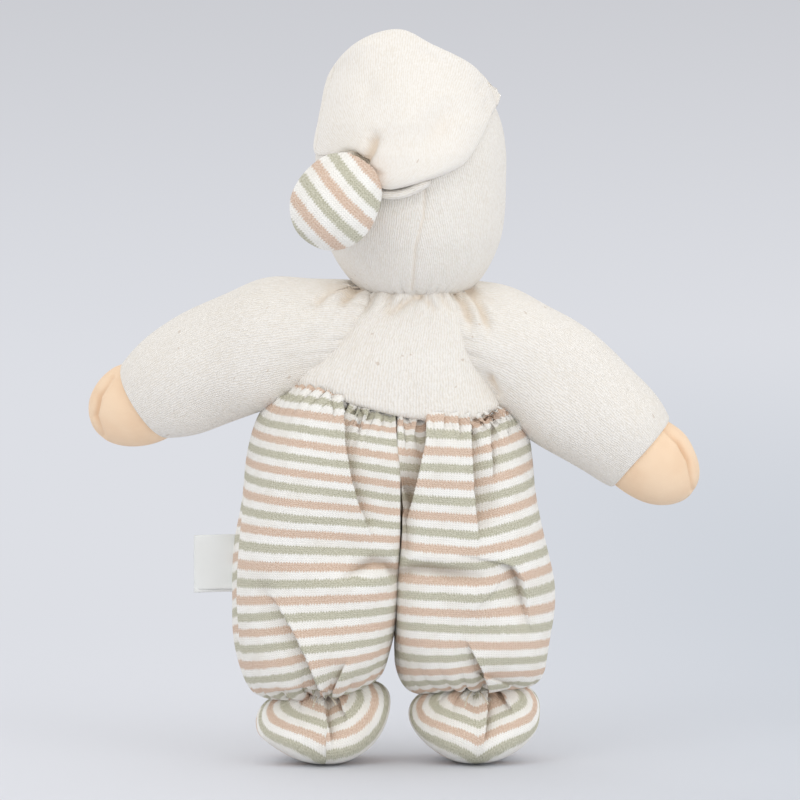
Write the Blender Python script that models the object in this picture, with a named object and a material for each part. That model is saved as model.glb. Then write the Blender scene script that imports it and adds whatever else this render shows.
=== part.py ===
"""A soft cloth doll in a hooded suit, with striped trousers, wool stuffing and a bobble on its hood.

Metres, +Z up. The doll faces -Y, so its own left side is +X. The origin lies on the surface that
the doll stands on, under the middle of its box.
"""

import math

import bmesh
import bpy
from mathutils import Matrix, Vector

# Cloth and thread thicknesses
TERRY = 0.0012
JERSEY = 0.0010
SKIN_CLOTH = 0.0008
LABEL_TAPE = 0.0004
THREAD = 0.0014

# Clearances: between pieces that lie on each other, and between a ball and the cup that it turns in
FIT_GAP = 0.0003
SWIVEL_GAP = 0.0006
OVERRUN = 0.05

# Facets round the large forms, the small forms and the threads
SIDES = 18
SMALL_SIDES = 14
THREAD_SIDES = 6
BALL_STEPS = 4
CUP_SIDES = 18
WOOL_SIDES = 12

# The doll's box is centred on the origin, and the bobble makes it deeper behind the trunk
TRUNK_SHIFT_BACK = -0.0075

# Trunk
HIP_HEIGHT = 0.088
WAIST_HEIGHT = 0.156
WAIST_HALF_WIDTH = 0.0442
WAIST_HALF_DEPTH = 0.027
WAIST_TILT = math.radians(4)
NECK_HEIGHT = 0.209
NECK_SHIFT = -0.005
SEAT_DROP = 0.090
SEAT_HALF_WIDTH = 0.0685
SEAT_HALF_DEPTH = 0.0362
SEAT_FRONT_HEIGHT = 0.1235
SEAT_BACK_HEIGHT = 0.081

# Head, hood and face
NECK_BALL = 0.0185
HEAD_HALF_WIDTH = 0.0415
HEAD_HALF_DEPTH = 0.0400
HOOD_HEIGHT = 0.110
PEAK_SHIFT = 0.0045
FACE_HEIGHT = 0.043
FACE_HALF_WIDTH = 0.0275
FACE_HALF_HEIGHT = 0.0310
EYE_SPREAD = 0.0110
EYE_RISE = 0.0020
EYE_RADIUS = 0.0022
MOUTH_DROP = 0.0125
MOUTH_HALF_WIDTH = 0.0048
MOUTH_SAG = 0.0016
MOUTH_THREAD = 0.0012

# The hood's long point, folded over to the back, and its bobble
TAIL_HINGE_RISE = 0.094
TAIL_LENGTH = 0.0405
TAIL_HALF_WIDTH = 0.0300
TAIL_THICKNESS = 0.0064
TAIL_EDGE = 0.0016
TAIL_GAP = 0.0015
TAIL_SWAY = 0.0160
BOBBLE_LENGTH = 0.0410
BOBBLE_HALF_WIDTH = 0.0185
BOBBLE_HALF_DEPTH = 0.0165
BOBBLE_NECK = 0.0034
BOBBLE_LEAN = math.radians(39)
BOBBLE_LIFT = math.radians(26)
BOBBLE_GAP = 0.0018

# Arms and hands
SHOULDER_HEIGHT = 0.185
SHOULDER_SPREAD = 0.0425
SHOULDER_SHIFT = -0.001
SHOULDER_BALL = 0.0225
SLEEVE_LENGTH = 0.077
SLEEVE_HALF_WIDTH = 0.0264
SLEEVE_HALF_DEPTH = 0.0252
SLEEVE_BOW = 0.0040
ARM_DROP = {"left": math.radians(20), "right": math.radians(36)}
ARM_FORWARD = {"left": math.radians(23), "right": math.radians(2)}
WRIST_STEP = 0.0010
WRIST_BALL = 0.0155
HAND_LENGTH = 0.029
HAND_HALF_WIDTH = 0.0180
HAND_HALF_DEPTH = 0.0160

# Legs and feet
HIP_SPREAD = 0.035
HIP_ROLL = 0.033
HIP_ROLL_HALF_WIDTH = 0.0335
LEG_HALF_WIDTH = 0.0346
LEG_HALF_DEPTH = 0.0335
ANKLE_HEIGHT = 0.033
ANKLE_INSET = 0.002
STANCE_SHIFT = -0.0015
ANKLE_BALL = 0.0080
FOOT_HALF_WIDTH = 0.0296
FOOT_HALF_DEPTH = 0.0320
FOOT_REACH = 0.0005
SOLE_CUT = 0.0005

# Care label in the side seam of the left trouser leg
LABEL_WIDTH = 0.0180
LABEL_LENGTH = 0.0225
LABEL_STEP = 0.0020
LABEL_GAP = 0.0007

# Colours, linear
TERRY_COLOUR = (0.84, 0.80, 0.72)
STRIPE_COLOUR = (0.72, 0.66, 0.56)
SKIN_COLOUR = (0.90, 0.62, 0.40)
WOOL_COLOUR = (0.86, 0.82, 0.72)
THREAD_COLOUR = (0.80, 0.76, 0.66)
TAPE_COLOUR = (0.86, 0.88, 0.88)
EYE_COLOUR = (0.05, 0.09, 0.16)
MOUTH_COLOUR = (0.62, 0.14, 0.12)

# Outlines. Each row is one ring: its height or distance share first, then its size shares.
bodice_shares = (
    (0.00, 1.00, 1.00, 0.00),
    (0.11, 0.875, 1.00, 0.05),
    (0.26, 0.85, 0.99, 0.12),
    (0.48, 0.84, 0.94, 0.30),
    (0.70, 0.77, 0.86, 0.60),
    (0.90, 0.60, 0.72, 0.90),
)
seat_shares = (
    (0.05, 0.78, 0.86),
    (0.13, 0.86, 0.93),
    (0.27, 0.90, 0.98),
    (0.42, 0.94, 1.00),
    (0.57, 0.975, 1.00),
    (0.71, 1.00, 1.00),
    (0.86, 1.00, 0.98),
    (1.00, 0.97, 0.90),
)
head_shares = (
    (0.02, 0.50, 0.51, 0.00),
    (0.07, 0.70, 0.70, 0.00),
    (0.15, 0.875, 0.88, 0.00),
    (0.25, 0.965, 0.97, 0.00),
    (0.41, 1.00, 1.00, 0.00),
    (0.55, 0.985, 0.98, 0.05),
    (0.65, 0.930, 0.91, 0.15),
)
crown_shares = (
    (0.72, 0.84, 0.80, 0.30),
    (0.78, 0.67, 0.62, 0.40),
    (0.82, 0.44, 0.40, 0.50),
)
peak_shares = (
    (0.74, 0.86, 0.76, 0.35),
    (0.82, 0.745, 0.56, 0.65),
    (0.89, 0.60, 0.37, 0.90),
    (0.95, 0.37, 0.22, 1.00),
    (1.00, 0.07, 0.06, 1.00),
)
sleeve_shares = (
    (0.18, 0.905, 0.925, 0.75),
    (0.42, 1.00, 1.00, 1.00),
    (0.66, 0.94, 0.92, 0.95),
    (0.85, 0.86, 0.86, 0.55),
    (0.95, 0.77, 0.78, 0.20),
    (1.00, 0.72, 0.73, 0.05),
)
hand_shares = (
    (0.20, 0.92, 0.95),
    (0.44, 1.00, 1.00),
    (0.66, 0.90, 0.90),
    (0.84, 0.66, 0.68),
    (0.95, 0.38, 0.42),
    (1.00, 0.14, 0.16),
)
leg_shares = (
    (0.18, 1.00, 1.00),
    (0.42, 1.00, 1.00),
    (0.66, 0.98, 0.97),
    (0.83, 0.90, 0.88),
    (0.915, 0.72, 0.68),
    (0.96, 0.44, 0.40),
)
foot_shares = (
    (0.075, 0.27, 0.25),
    (0.14, 0.64, 0.60),
    (0.25, 0.87, 0.85),
    (0.43, 0.98, 0.98),
    (0.62, 1.00, 1.00),
    (0.81, 0.94, 0.94),
    (0.94, 0.84, 0.88),
    (0.99, 0.72, 0.80),
)
bobble_shares = (
    (0.00, 0.00),
    (0.055, 0.00),
    (0.10, 0.46),
    (0.18, 0.72),
    (0.34, 0.94),
    (0.52, 1.00),
    (0.72, 0.91),
    (0.88, 0.65),
    (0.97, 0.33),
    (1.00, 0.10),
)
# Each row: how far down the flap it lies, its width, its sway to the doll's left, its grip on the head
tail_shares = (
    (0.00, 0.76, 0.00, 0.00),
    (0.14, 0.95, -0.06, 0.30),
    (0.32, 1.00, -0.08, 0.60),
    (0.52, 0.98, -0.04, 0.80),
    (0.70, 0.84, 0.12, 0.90),
    (0.82, 0.56, 0.42, 1.00),
    (0.93, 0.15, 0.86, 1.00),
    (1.00, 0.10, 1.00, 1.00),
)
tail_column_shares = (-1.0, -0.84, -0.56, -0.28, 0.0, 0.28, 0.56, 0.84, 1.0)

SEAT_POWER = 2.9
ROUND_POWER = 2.0
BODICE_POWER = 2.3
SOLE_POWER = 2.3
LEG_POWER = 2.6
ROLL_POWER = 3.0
ROLL_STEPS = 12
HOLE_SHARE = 0.45
SOLE_TIP_SHARE = 0.50
SIDE_SIGN = {"left": 1, "right": -1}


def clear_scene():
    for item in list(bpy.data.objects):
        bpy.data.objects.remove(item)


def joint_empty(name, parent, location, turn=None):
    """An empty on a joint's axis, which carries the pieces that move with it."""
    holder = bpy.data.objects.new(name, None)
    bpy.context.scene.collection.objects.link(holder)
    holder.parent = parent
    holder.matrix_local = Matrix.Translation(Vector(location)) @ (turn or Matrix.Identity(4))
    return holder


def cloth_material(name, colour, roughness):
    material = bpy.data.materials.new(name)
    material.use_nodes = True
    shader = material.node_tree.nodes["Principled BSDF"]
    shader.inputs["Base Color"].default_value = (*colour, 1)
    shader.inputs["Roughness"].default_value = roughness
    shader.inputs["Metallic"].default_value = 0
    return material


def add_piece(name, form, parent, colour, roughness=0.9):
    mesh = bpy.data.meshes.new(name)
    form.to_mesh(mesh)
    form.free()
    mesh.shade_smooth()
    mesh.set_sharp_from_angle(angle=math.radians(50))
    mesh.materials.append(cloth_material(name, colour, roughness))
    item = bpy.data.objects.new(name, mesh)
    bpy.context.scene.collection.objects.link(item)
    item.parent = parent
    return item


def add_cutter(name, form, parent):
    mesh = bpy.data.meshes.new(name)
    form.to_mesh(mesh)
    form.free()
    item = bpy.data.objects.new(name, mesh)
    bpy.context.scene.collection.objects.link(item)
    item.parent = parent
    item.hide_render = True
    item.display_type = "WIRE"
    return item


def give_thickness(item, thickness):
    """Turns a skin without thickness into a cloth shell that reaches inwards."""
    solidify = item.modifiers.new("cloth", "SOLIDIFY")
    solidify.thickness = thickness
    solidify.offset = -1
    solidify.use_even_offset = True


def cut(item, *cutters):
    for cutter in cutters:
        boolean = item.modifiers.new("cut_" + cutter.name, "BOOLEAN")
        boolean.operation = "DIFFERENCE"
        boolean.solver = "EXACT"
        boolean.object = cutter


def ring(centre, across, along, power=ROUND_POWER, sides=SIDES):
    """Points of a rounded outline: across and along are its half-axes."""
    points = []
    for step in range(sides):
        angle = 2 * math.pi * step / sides
        cosine = math.copysign(abs(math.cos(angle)) ** (2 / power), math.cos(angle))
        sine = math.copysign(abs(math.sin(angle)) ** (2 / power), math.sin(angle))
        points.append(Vector(centre) + cosine * Vector(across) + sine * Vector(along))
    return points


def middle_of(points):
    return sum(points, Vector()) / len(points)


def runs_backwards(rings):
    """Whether the rings turn the wrong way for the direction in which they follow each other."""
    facing = Vector()
    for points in rings:
        middle = middle_of(points)
        for one, other in zip(points, points[1:] + points[:1]):
            facing += (one - middle).cross(other - middle)
    return facing.dot(middle_of(rings[-1]) - middle_of(rings[0])) < 0


def skin(rings, close_start=False, close_end=False):
    """Joins rings of equal count into one surface with its faces pointing out."""
    form = bmesh.new()
    if runs_backwards(rings):
        rings = [list(reversed(points)) for points in rings]
    rows = [[form.verts.new(point) for point in points] for points in rings]
    count = len(rows[0])
    for lower, upper in zip(rows, rows[1:]):
        for step in range(count):
            after = (step + 1) % count
            form.faces.new((lower[step], lower[after], upper[after], upper[step]))
    if close_start:
        form.faces.new(list(reversed(rows[0])))
    if close_end:
        form.faces.new(rows[-1])
    return form


def shrink(form, distance):
    """Moves every face of the form inwards by the distance."""
    form.normal_update()
    steps = [vert.normal * distance * vert.calc_shell_factor() for vert in form.verts]
    for vert, step in zip(form.verts, steps):
        vert.co -= step
    return form


def every_other(rings):
    return [points[::2] for points in rings]


def root_angles():
    """Steps over a limb's round root, from its open mouth to its middle."""
    first = math.asin(HOLE_SHARE)
    return [first + (math.pi / 2 - first) * step / (BALL_STEPS - 1) for step in range(BALL_STEPS)]


def ball_rings(radius, out, across, along, sides=SIDES):
    """Rings of a ball's rear half, from its mouth to its middle. The limb goes out from the middle."""
    rings = []
    for angle in root_angles():
        centre = -radius * math.cos(angle) * Vector(out)
        size = radius * math.sin(angle)
        rings.append(ring(centre, size * Vector(across), size * Vector(along), sides=sides))
    return rings


def roll_share(share):
    """How much of a roll's radius is left at a share of its half width, and the other way round."""
    return (1 - share ** ROLL_POWER) ** (1 / ROLL_POWER)


def roll(radius, half_width):
    """A bolster that lies along X: round, with nearly flat ends and soft rims."""
    rings = []
    for step in range(1, ROLL_STEPS):
        share = math.cos(math.pi * step / ROLL_STEPS)
        size = radius * roll_share(abs(share))
        rings.append(ring((share * half_width, 0, 0), (0, size, 0), (0, 0, size), sides=CUP_SIDES))
    return skin(rings, True, True)


def flat_share(sides):
    """How far in the flats of a faceted ball lie, as a share of its radius."""
    return math.cos(math.pi / sides) ** 2


def ball(radius, sides):
    form = bmesh.new()
    bmesh.ops.create_uvsphere(form, u_segments=sides, v_segments=sides // 2, radius=radius)
    return form


def add_cup_cutter(name, radius, parent):
    """A ball that cuts the cup in which a ball of this radius turns."""
    return add_cutter(name, ball((radius + SWIVEL_GAP) / flat_share(CUP_SIDES), CUP_SIDES), parent)


def wool_ball_radius(outer, cloth):
    """The wool ball fits inside the flats of the cloth ball round it."""
    flats = outer * math.cos(math.pi / SIDES) * math.cos(math.pi / 4 / (BALL_STEPS - 1))
    return flats - cloth - FIT_GAP


def thread_loop(radius, sides, height=0):
    """A closed loop of thread round the Z axis."""
    form = bmesh.new()
    rows = []
    for step in range(sides):
        angle = 2 * math.pi * step / sides
        out = Vector((math.cos(angle), math.sin(angle), 0))
        row = []
        for turn in range(THREAD_SIDES):
            bend = 2 * math.pi * turn / THREAD_SIDES
            point = out * (radius + THREAD / 2 * math.cos(bend))
            point.z = height + THREAD / 2 * math.sin(bend)
            row.append(form.verts.new(point))
        rows.append(row)
    for step, row in enumerate(rows):
        following = rows[(step + 1) % sides]
        for turn in range(THREAD_SIDES):
            after = (turn + 1) % THREAD_SIDES
            form.faces.new((row[turn], following[turn], following[after], row[after]))
    bmesh.ops.recalc_face_normals(form, faces=form.faces)
    return form


def trunk_ring(height, half_width, half_depth, shift, power, tilt=0):
    across = Vector((half_width, 0, half_width * tilt))
    return ring((shift, 0, height), across, (0, half_depth, 0), power)


def bodice_rings():
    """The bodice from the waist up to the neck."""
    rings = []
    for rise, width, depth, lean in bodice_shares:
        rings.append(trunk_ring(
            WAIST_HEIGHT + rise * (NECK_HEIGHT - WAIST_HEIGHT),
            width * WAIST_HALF_WIDTH,
            depth * WAIST_HALF_DEPTH,
            lean * NECK_SHIFT,
            BODICE_POWER,
            (1 - rise) * math.tan(WAIST_TILT),
        ))
    return rings


def seat_rings():
    """The trousers from the waist down to below the hips."""
    tilt = math.tan(WAIST_TILT)
    rings = [trunk_ring(WAIST_HEIGHT - FIT_GAP, WAIST_HALF_WIDTH, WAIST_HALF_DEPTH, 0, BODICE_POWER, tilt)]
    for drop, width, depth in seat_shares:
        rings.append(trunk_ring(
            WAIST_HEIGHT - drop * SEAT_DROP,
            width * SEAT_HALF_WIDTH,
            depth * SEAT_HALF_DEPTH,
            0,
            BODICE_POWER + (SEAT_POWER - BODICE_POWER) * min(1, 2 * drop),
            (1 - drop) ** 3 * tilt,
        ))
    return rings


def head_ring(row, sides=SIDES):
    rise, width, depth, lean = row
    centre = (lean * PEAK_SHIFT, 0, rise * HOOD_HEIGHT)
    return ring(centre, (width * HEAD_HALF_WIDTH, 0, 0), (0, depth * HEAD_HALF_DEPTH, 0), sides=sides)


def head_rings(top_shares, start=0):
    """The head from its neck ball to its top, in the frame of the neck's pivot."""
    up = Vector((0, 0, 1))
    rings = ball_rings(NECK_BALL, up, (1, 0, 0), (0, 1, 0))[start:]
    return rings + [head_ring(row) for row in head_shares + top_shares]


def hood_back(x, height):
    """How far back the hood's surface lies at a place of the back, in the frame of the neck's pivot."""
    rows = head_shares + peak_shares
    for low, high in zip(rows, rows[1:]):
        if height <= high[0] * HOOD_HEIGHT:
            break
    share = (height / HOOD_HEIGHT - low[0]) / (high[0] - low[0])
    width, depth, lean = (low[i] + (high[i] - low[i]) * share for i in (1, 2, 3))
    across = (x - lean * PEAK_SHIFT) / (width * HEAD_HALF_WIDTH)
    return depth * HEAD_HALF_DEPTH * math.sqrt(max(0, 1 - across * across))


def build_trunk(doll):
    """Bodice, trouser seat and the wool that fills both."""
    neck_cup = add_cup_cutter("neck_cup_cutter", NECK_BALL, doll["neck"])
    cups = [neck_cup]
    for side in SIDE_SIGN:
        cups.append(add_cup_cutter("armhole_cutter_" + side, SHOULDER_BALL, doll["arm_" + side]))
    hip_cups = []
    for side in SIDE_SIGN:
        space = roll((HIP_ROLL + SWIVEL_GAP) / flat_share(CUP_SIDES), HIP_ROLL_HALF_WIDTH + SWIVEL_GAP)
        hip_cups.append(add_cutter("hip_cutter_" + side, space, doll["leg_" + side]))
    legs_cut = add_cutter("leg_opening_cutter", leg_opening(), doll["trunk"])

    bodice = add_piece("bodice", skin(bodice_rings()), doll["trunk"], TERRY_COLOUR)
    give_thickness(bodice, TERRY)
    cut(bodice, *cups)

    seat = add_piece("trouser_seat", skin(seat_rings()), doll["trunk"], STRIPE_COLOUR)
    give_thickness(seat, JERSEY)
    cut(seat, *cups[1:], legs_cut, *hip_cups)

    rings = list(reversed(seat_rings()[1:])) + bodice_rings()
    wool = shrink(skin(every_other(rings), True, True), TERRY + FIT_GAP)
    stuffing = add_piece("trunk_stuffing", wool, doll["trunk"], WOOL_COLOUR)
    cut(stuffing, *cups, legs_cut, *hip_cups)


def leg_opening():
    """The space under the slanting lower edge of the seat: high in front, where the legs fold up."""
    width = SEAT_HALF_WIDTH + OVERRUN
    reach = SEAT_HALF_DEPTH + OVERRUN
    outline = (
        (-reach, SEAT_FRONT_HEIGHT),
        (0, SEAT_FRONT_HEIGHT),
        (SEAT_HALF_DEPTH, SEAT_BACK_HEIGHT),
        (reach, SEAT_BACK_HEIGHT),
        (reach, -OVERRUN),
        (-reach, -OVERRUN),
    )
    sections = [[Vector((x, y, z)) for y, z in outline] for x in (-width, width)]
    return skin(sections, True, True)


def build_head(doll):
    """Wool head, skin bag, embroidered face and the hood over them."""
    head = doll["head"]
    neck_wool = wool_ball_radius(NECK_BALL - TERRY - FIT_GAP, SKIN_CLOTH)
    add_piece("neck_ball", ball(neck_wool, WOOL_SIDES), doll["neck"], WOOL_COLOUR)

    hood = add_piece("hood", skin(head_rings(peak_shares), close_end=True), head, TERRY_COLOUR)
    give_thickness(hood, TERRY)
    cut(hood, add_cutter("face_cutter", face_opening(), head))

    bag = shrink(skin(head_rings(crown_shares), close_end=True), TERRY + FIT_GAP)
    face = add_piece("head_skin", bag, head, SKIN_COLOUR)
    give_thickness(face, SKIN_CLOTH)

    wool = skin(every_other(head_rings(crown_shares, BALL_STEPS)), True, True)
    stuffing = add_piece(
        "head_stuffing", shrink(wool, TERRY + SKIN_CLOTH + 2 * FIT_GAP), head, WOOL_COLOUR
    )
    cut(stuffing, add_cup_cutter("head_wool_cutter", neck_wool, head))
    build_face(head)


def face_opening():
    out = Vector((0, -1, 0))
    rings = []
    for reach in (HEAD_HALF_DEPTH / 4, HEAD_HALF_DEPTH + OVERRUN):
        centre = Vector((0, 0, FACE_HEIGHT)) + reach * out
        rings.append(ring(centre, (FACE_HALF_WIDTH, 0, 0), (0, 0, FACE_HALF_HEIGHT)))
    return skin(rings, True, True)


def face_front(x, height):
    """How far forward the face's skin lies at a place of the face."""
    return hood_back(x, height) - TERRY - FIT_GAP


def build_face(head):
    """Two eyes and a mouth in plain stitches that stand on the skin."""
    for side, sign in SIDE_SIGN.items():
        x = sign * EYE_SPREAD
        height = FACE_HEIGHT + EYE_RISE
        form = ball(EYE_RADIUS, SMALL_SIDES // 2)
        bmesh.ops.scale(form, vec=(1, 1 / 2, 1), verts=form.verts)
        place = (x, -face_front(x, height) - EYE_RADIUS / 2 - FIT_GAP, height)
        bmesh.ops.translate(form, vec=place, verts=form.verts)
        add_piece("eye_" + side, form, head, EYE_COLOUR, 0.6)

    rings = []
    steps = SMALL_SIDES // 2
    for step in range(steps + 1):
        share = 2 * step / steps - 1
        x = share * MOUTH_HALF_WIDTH
        height = FACE_HEIGHT - MOUTH_DROP - MOUTH_SAG * (1 - share * share)
        y = -face_front(x, height) - MOUTH_THREAD / 2 - FIT_GAP
        size = MOUTH_THREAD / 2 * (1 - share ** 4 / 2)
        rings.append(ring((x, y, height), (0, size, 0), (0, 0, size), sides=THREAD_SIDES))
    add_piece("mouth", skin(rings, True, True), head, MOUTH_COLOUR, 0.6)


def tail_place(row):
    """Height, middle and half width of one row of the hood's point, in the frame of the neck's pivot."""
    drop, width, sway, _ = row
    middle = PEAK_SHIFT + sway * TAIL_SWAY
    return TAIL_HINGE_RISE - drop * TAIL_LENGTH, middle, width * TAIL_HALF_WIDTH


def tail_grip(x, row):
    """How far back the underside of the hood's point lies: it grips the head more towards its tip."""
    height, middle, _ = tail_place(row)
    straight = hood_back(middle, height)
    return straight + (hood_back(x, height) - straight) * row[3] + TAIL_GAP


def tail_hinge():
    """The fold line's place behind the peak, in the frame of the neck's pivot."""
    back = tail_grip(PEAK_SHIFT, tail_shares[0]) + TAIL_THICKNESS / 2
    return Vector((PEAK_SHIFT, back, TAIL_HINGE_RISE))


def tail_tip():
    """Where the bobble is tied on, in the frame of the neck's pivot."""
    height, middle, _ = tail_place(tail_shares[-1])
    back = tail_grip(middle, tail_shares[-1]) + TAIL_THICKNESS / 2
    return Vector((middle, back, height))


def build_tail(doll):
    """The folded point of the hood: two layers of terry that narrow to the bobble's tie."""
    form = bmesh.new()
    hinge = tail_hinge()
    under = []
    over = []
    for row in tail_shares:
        height, middle, half_width = tail_place(row)
        for rows, is_over in ((under, False), (over, True)):
            line = []
            for column in tail_column_shares:
                x = middle + column * half_width
                y = tail_grip(x, row)
                if is_over:
                    y += TAIL_EDGE + (TAIL_THICKNESS - TAIL_EDGE) * (1 - column ** 4)
                line.append(form.verts.new(Vector((x, y, height)) - hinge))
            rows.append(line)
    fold = []
    _, middle, half_width = tail_place(tail_shares[0])
    for column in tail_column_shares:
        place = Vector((middle + column * half_width, hinge.y, hinge.z + TAIL_THICKNESS / 2))
        fold.append(form.verts.new(place - hinge))
    under.insert(0, fold)
    over.insert(0, fold)
    last = len(tail_column_shares) - 1
    for step in range(len(under) - 1):
        for column in range(last):
            for rows in (under, over):
                corners = [rows[step][column], rows[step][column + 1]]
                corners += [rows[step + 1][column + 1], rows[step + 1][column]]
                form.faces.new(corners)
        for column in (0, last):
            corners = [under[step][column], under[step + 1][column], over[step + 1][column]]
            if step:
                corners.append(over[step][column])
            form.faces.new(corners)
    for column in range(last):
        corners = [under[-1][column], under[-1][column + 1], over[-1][column + 1], over[-1][column]]
        form.faces.new(corners)
    bmesh.ops.recalc_face_normals(form, faces=form.faces)
    add_piece("hood_tail", form, doll["hood_tail"], TERRY_COLOUR)


def bobble_rings():
    """The bobble in its own frame, hanging down from its tie at the origin."""
    rings = []
    for drop, size in bobble_shares:
        centre = (0, 0, -BOBBLE_GAP - drop * BOBBLE_LENGTH)
        across = Vector((max(BOBBLE_NECK, size * BOBBLE_HALF_WIDTH), 0, 0))
        along = Vector((0, max(BOBBLE_NECK, size * BOBBLE_HALF_DEPTH), 0))
        rings.append(ring(centre, across, along, sides=SMALL_SIDES))
    return rings


def build_bobble(doll):
    cover = add_piece("bobble_cover", skin(bobble_rings(), close_end=True), doll["bobble"], STRIPE_COLOUR)
    give_thickness(cover, JERSEY)
    wool = shrink(skin(every_other(bobble_rings()[2:]), True, True), JERSEY + FIT_GAP)
    add_piece("bobble_stuffing", wool, doll["bobble"], WOOL_COLOUR)
    height = -BOBBLE_GAP - THREAD / 2
    loop = thread_loop(BOBBLE_NECK + THREAD / 2 + 2 * FIT_GAP, SMALL_SIDES, height)
    add_piece("bobble_tie", loop, doll["bobble"], THREAD_COLOUR)


def sleeve_rings():
    """A sleeve in the frame of its arm: it goes out along X from its round root in the shoulder."""
    out = Vector((1, 0, 0))
    rings = ball_rings(SHOULDER_BALL, out, (0, 1, 0), (0, 0, 1))
    for reach, width, depth, bow in sleeve_shares:
        centre = (reach * SLEEVE_LENGTH, 0, bow * SLEEVE_BOW)
        rings.append(ring(centre, (0, depth * SLEEVE_HALF_DEPTH, 0), (0, 0, width * SLEEVE_HALF_WIDTH)))
    return rings


def hand_rings():
    out = Vector((1, 0, 0))
    rings = ball_rings(WRIST_BALL, out, (0, 1, 0), (0, 0, 1), sides=SMALL_SIDES)
    for reach, width, depth in hand_shares:
        centre = (reach * HAND_LENGTH, 0, 0)
        across = (0, depth * HAND_HALF_DEPTH, 0)
        rings.append(ring(centre, across, (0, 0, width * HAND_HALF_WIDTH), sides=SMALL_SIDES))
    return rings


def build_arm(doll, side):
    """Terry sleeve with a round root, filled with wool, and a skin-cloth hand in its cuff."""
    arm = doll["arm_" + side]
    hand = doll["hand_" + side]
    sleeve = add_piece("sleeve_" + side, skin(sleeve_rings()), arm, TERRY_COLOUR)
    give_thickness(sleeve, TERRY)
    cuff_cutter = add_cup_cutter("cuff_cutter_" + side, WRIST_BALL, hand)
    cut(sleeve, cuff_cutter)

    wool = shrink(skin(every_other(sleeve_rings()), True, True), TERRY + FIT_GAP)
    stuffing = add_piece("arm_stuffing_" + side, wool, arm, WOOL_COLOUR)
    cut(stuffing, cuff_cutter)

    mitten = add_piece("hand_" + side, skin(hand_rings(), close_end=True), hand, SKIN_COLOUR)
    give_thickness(mitten, SKIN_CLOTH)
    wool = shrink(skin(every_other(hand_rings()), True, True), SKIN_CLOTH + FIT_GAP)
    add_piece("hand_stuffing_" + side, wool, hand, WOOL_COLOUR)


def ankle_offset(side):
    """From a hip's pivot to the ankle's, across."""
    return STANCE_SHIFT - SIDE_SIGN[side] * ANKLE_INSET


def leg_rings(side):
    """A trouser leg in the frame of its hip: it hangs from its rolled root to the tied ankle."""
    length = HIP_HEIGHT - ANKLE_HEIGHT
    rings = []
    for angle in root_angles():
        across = (roll_share(math.cos(angle)) * HIP_ROLL_HALF_WIDTH, 0, 0)
        along = (0, math.sin(angle) * HIP_ROLL, 0)
        rings.append(ring((0, 0, math.cos(angle) * HIP_ROLL), across, along, LEG_POWER))
    for drop, width, depth in leg_shares:
        centre = (drop * drop * ankle_offset(side), 0, -drop * length)
        across = (width * LEG_HALF_WIDTH, 0, 0)
        rings.append(ring(centre, across, (0, depth * LEG_HALF_DEPTH, 0), LEG_POWER))
    return rings


def foot_rings():
    """A foot in the frame of its ankle: a round bag that the thread ties off, resting on its sole."""
    down = Vector((0, 0, -1))
    rings = ball_rings(ANKLE_BALL, down, (1, 0, 0), (0, 1, 0))
    for drop, width, depth in foot_shares:
        centre = (0, -drop * FOOT_REACH, -drop * ANKLE_HEIGHT)
        across = (width * FOOT_HALF_WIDTH, 0, 0)
        rings.append(ring(centre, across, (0, depth * FOOT_HALF_DEPTH, 0), SOLE_POWER))
    tip = SOLE_TIP_SHARE
    centre = (0, -FOOT_REACH, -ANKLE_HEIGHT - SOLE_CUT)
    rings.append(ring(centre, (tip * FOOT_HALF_WIDTH, 0, 0), (0, tip * FOOT_HALF_DEPTH, 0), SOLE_POWER))
    return rings


def floor_block():
    """The space under the surface that the doll stands on."""
    reach = FOOT_HALF_DEPTH + OVERRUN
    outline = ((-reach, -reach), (reach, -reach), (reach, reach), (-reach, reach))
    levels = (-ANKLE_HEIGHT - OVERRUN, -ANKLE_HEIGHT)
    return skin([[Vector((x, y, z)) for x, y in outline] for z in levels], True, True)


def build_leg(doll, side):
    """Striped trouser leg with a round root, filled with wool, and the foot tied off below it."""
    leg = doll["leg_" + side]
    foot = doll["foot_" + side]
    trouser = add_piece("trouser_leg_" + side, skin(leg_rings(side)), leg, STRIPE_COLOUR)
    give_thickness(trouser, JERSEY)
    ankle_cutter = add_cup_cutter("ankle_cutter_" + side, ANKLE_BALL, foot)
    cut(trouser, ankle_cutter)

    wool = shrink(skin(every_other(leg_rings(side)), True, True), JERSEY + FIT_GAP)
    stuffing = add_piece("leg_stuffing_" + side, wool, leg, WOOL_COLOUR)
    cut(stuffing, ankle_cutter)

    cover = add_piece("foot_cover_" + side, skin(foot_rings(), close_end=True), foot, STRIPE_COLOUR)
    give_thickness(cover, JERSEY)
    cut(cover, add_cutter("sole_cutter_" + side, floor_block(), foot))
    wool = shrink(skin(every_other(foot_rings()), True, True), JERSEY + FIT_GAP)
    add_piece("foot_stuffing_" + side, wool, foot, WOOL_COLOUR)
    loop = thread_loop(ANKLE_BALL + THREAD / 2 + 2 * FIT_GAP, SMALL_SIDES, -THREAD)
    add_piece("ankle_tie_" + side, loop, foot, THREAD_COLOUR)


def label_leaf(offset_y, rise, length):
    """One leaf of folded tape: a thin strip that stands out from the side seam."""
    outline = (
        (0, offset_y),
        (LABEL_WIDTH, offset_y),
        (LABEL_WIDTH, offset_y + LABEL_TAPE),
        (0, offset_y + LABEL_TAPE),
    )
    levels = (rise - length / 2, rise + length / 2)
    return skin([[Vector((x, y, z)) for x, y in outline] for z in levels], True, True)


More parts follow.
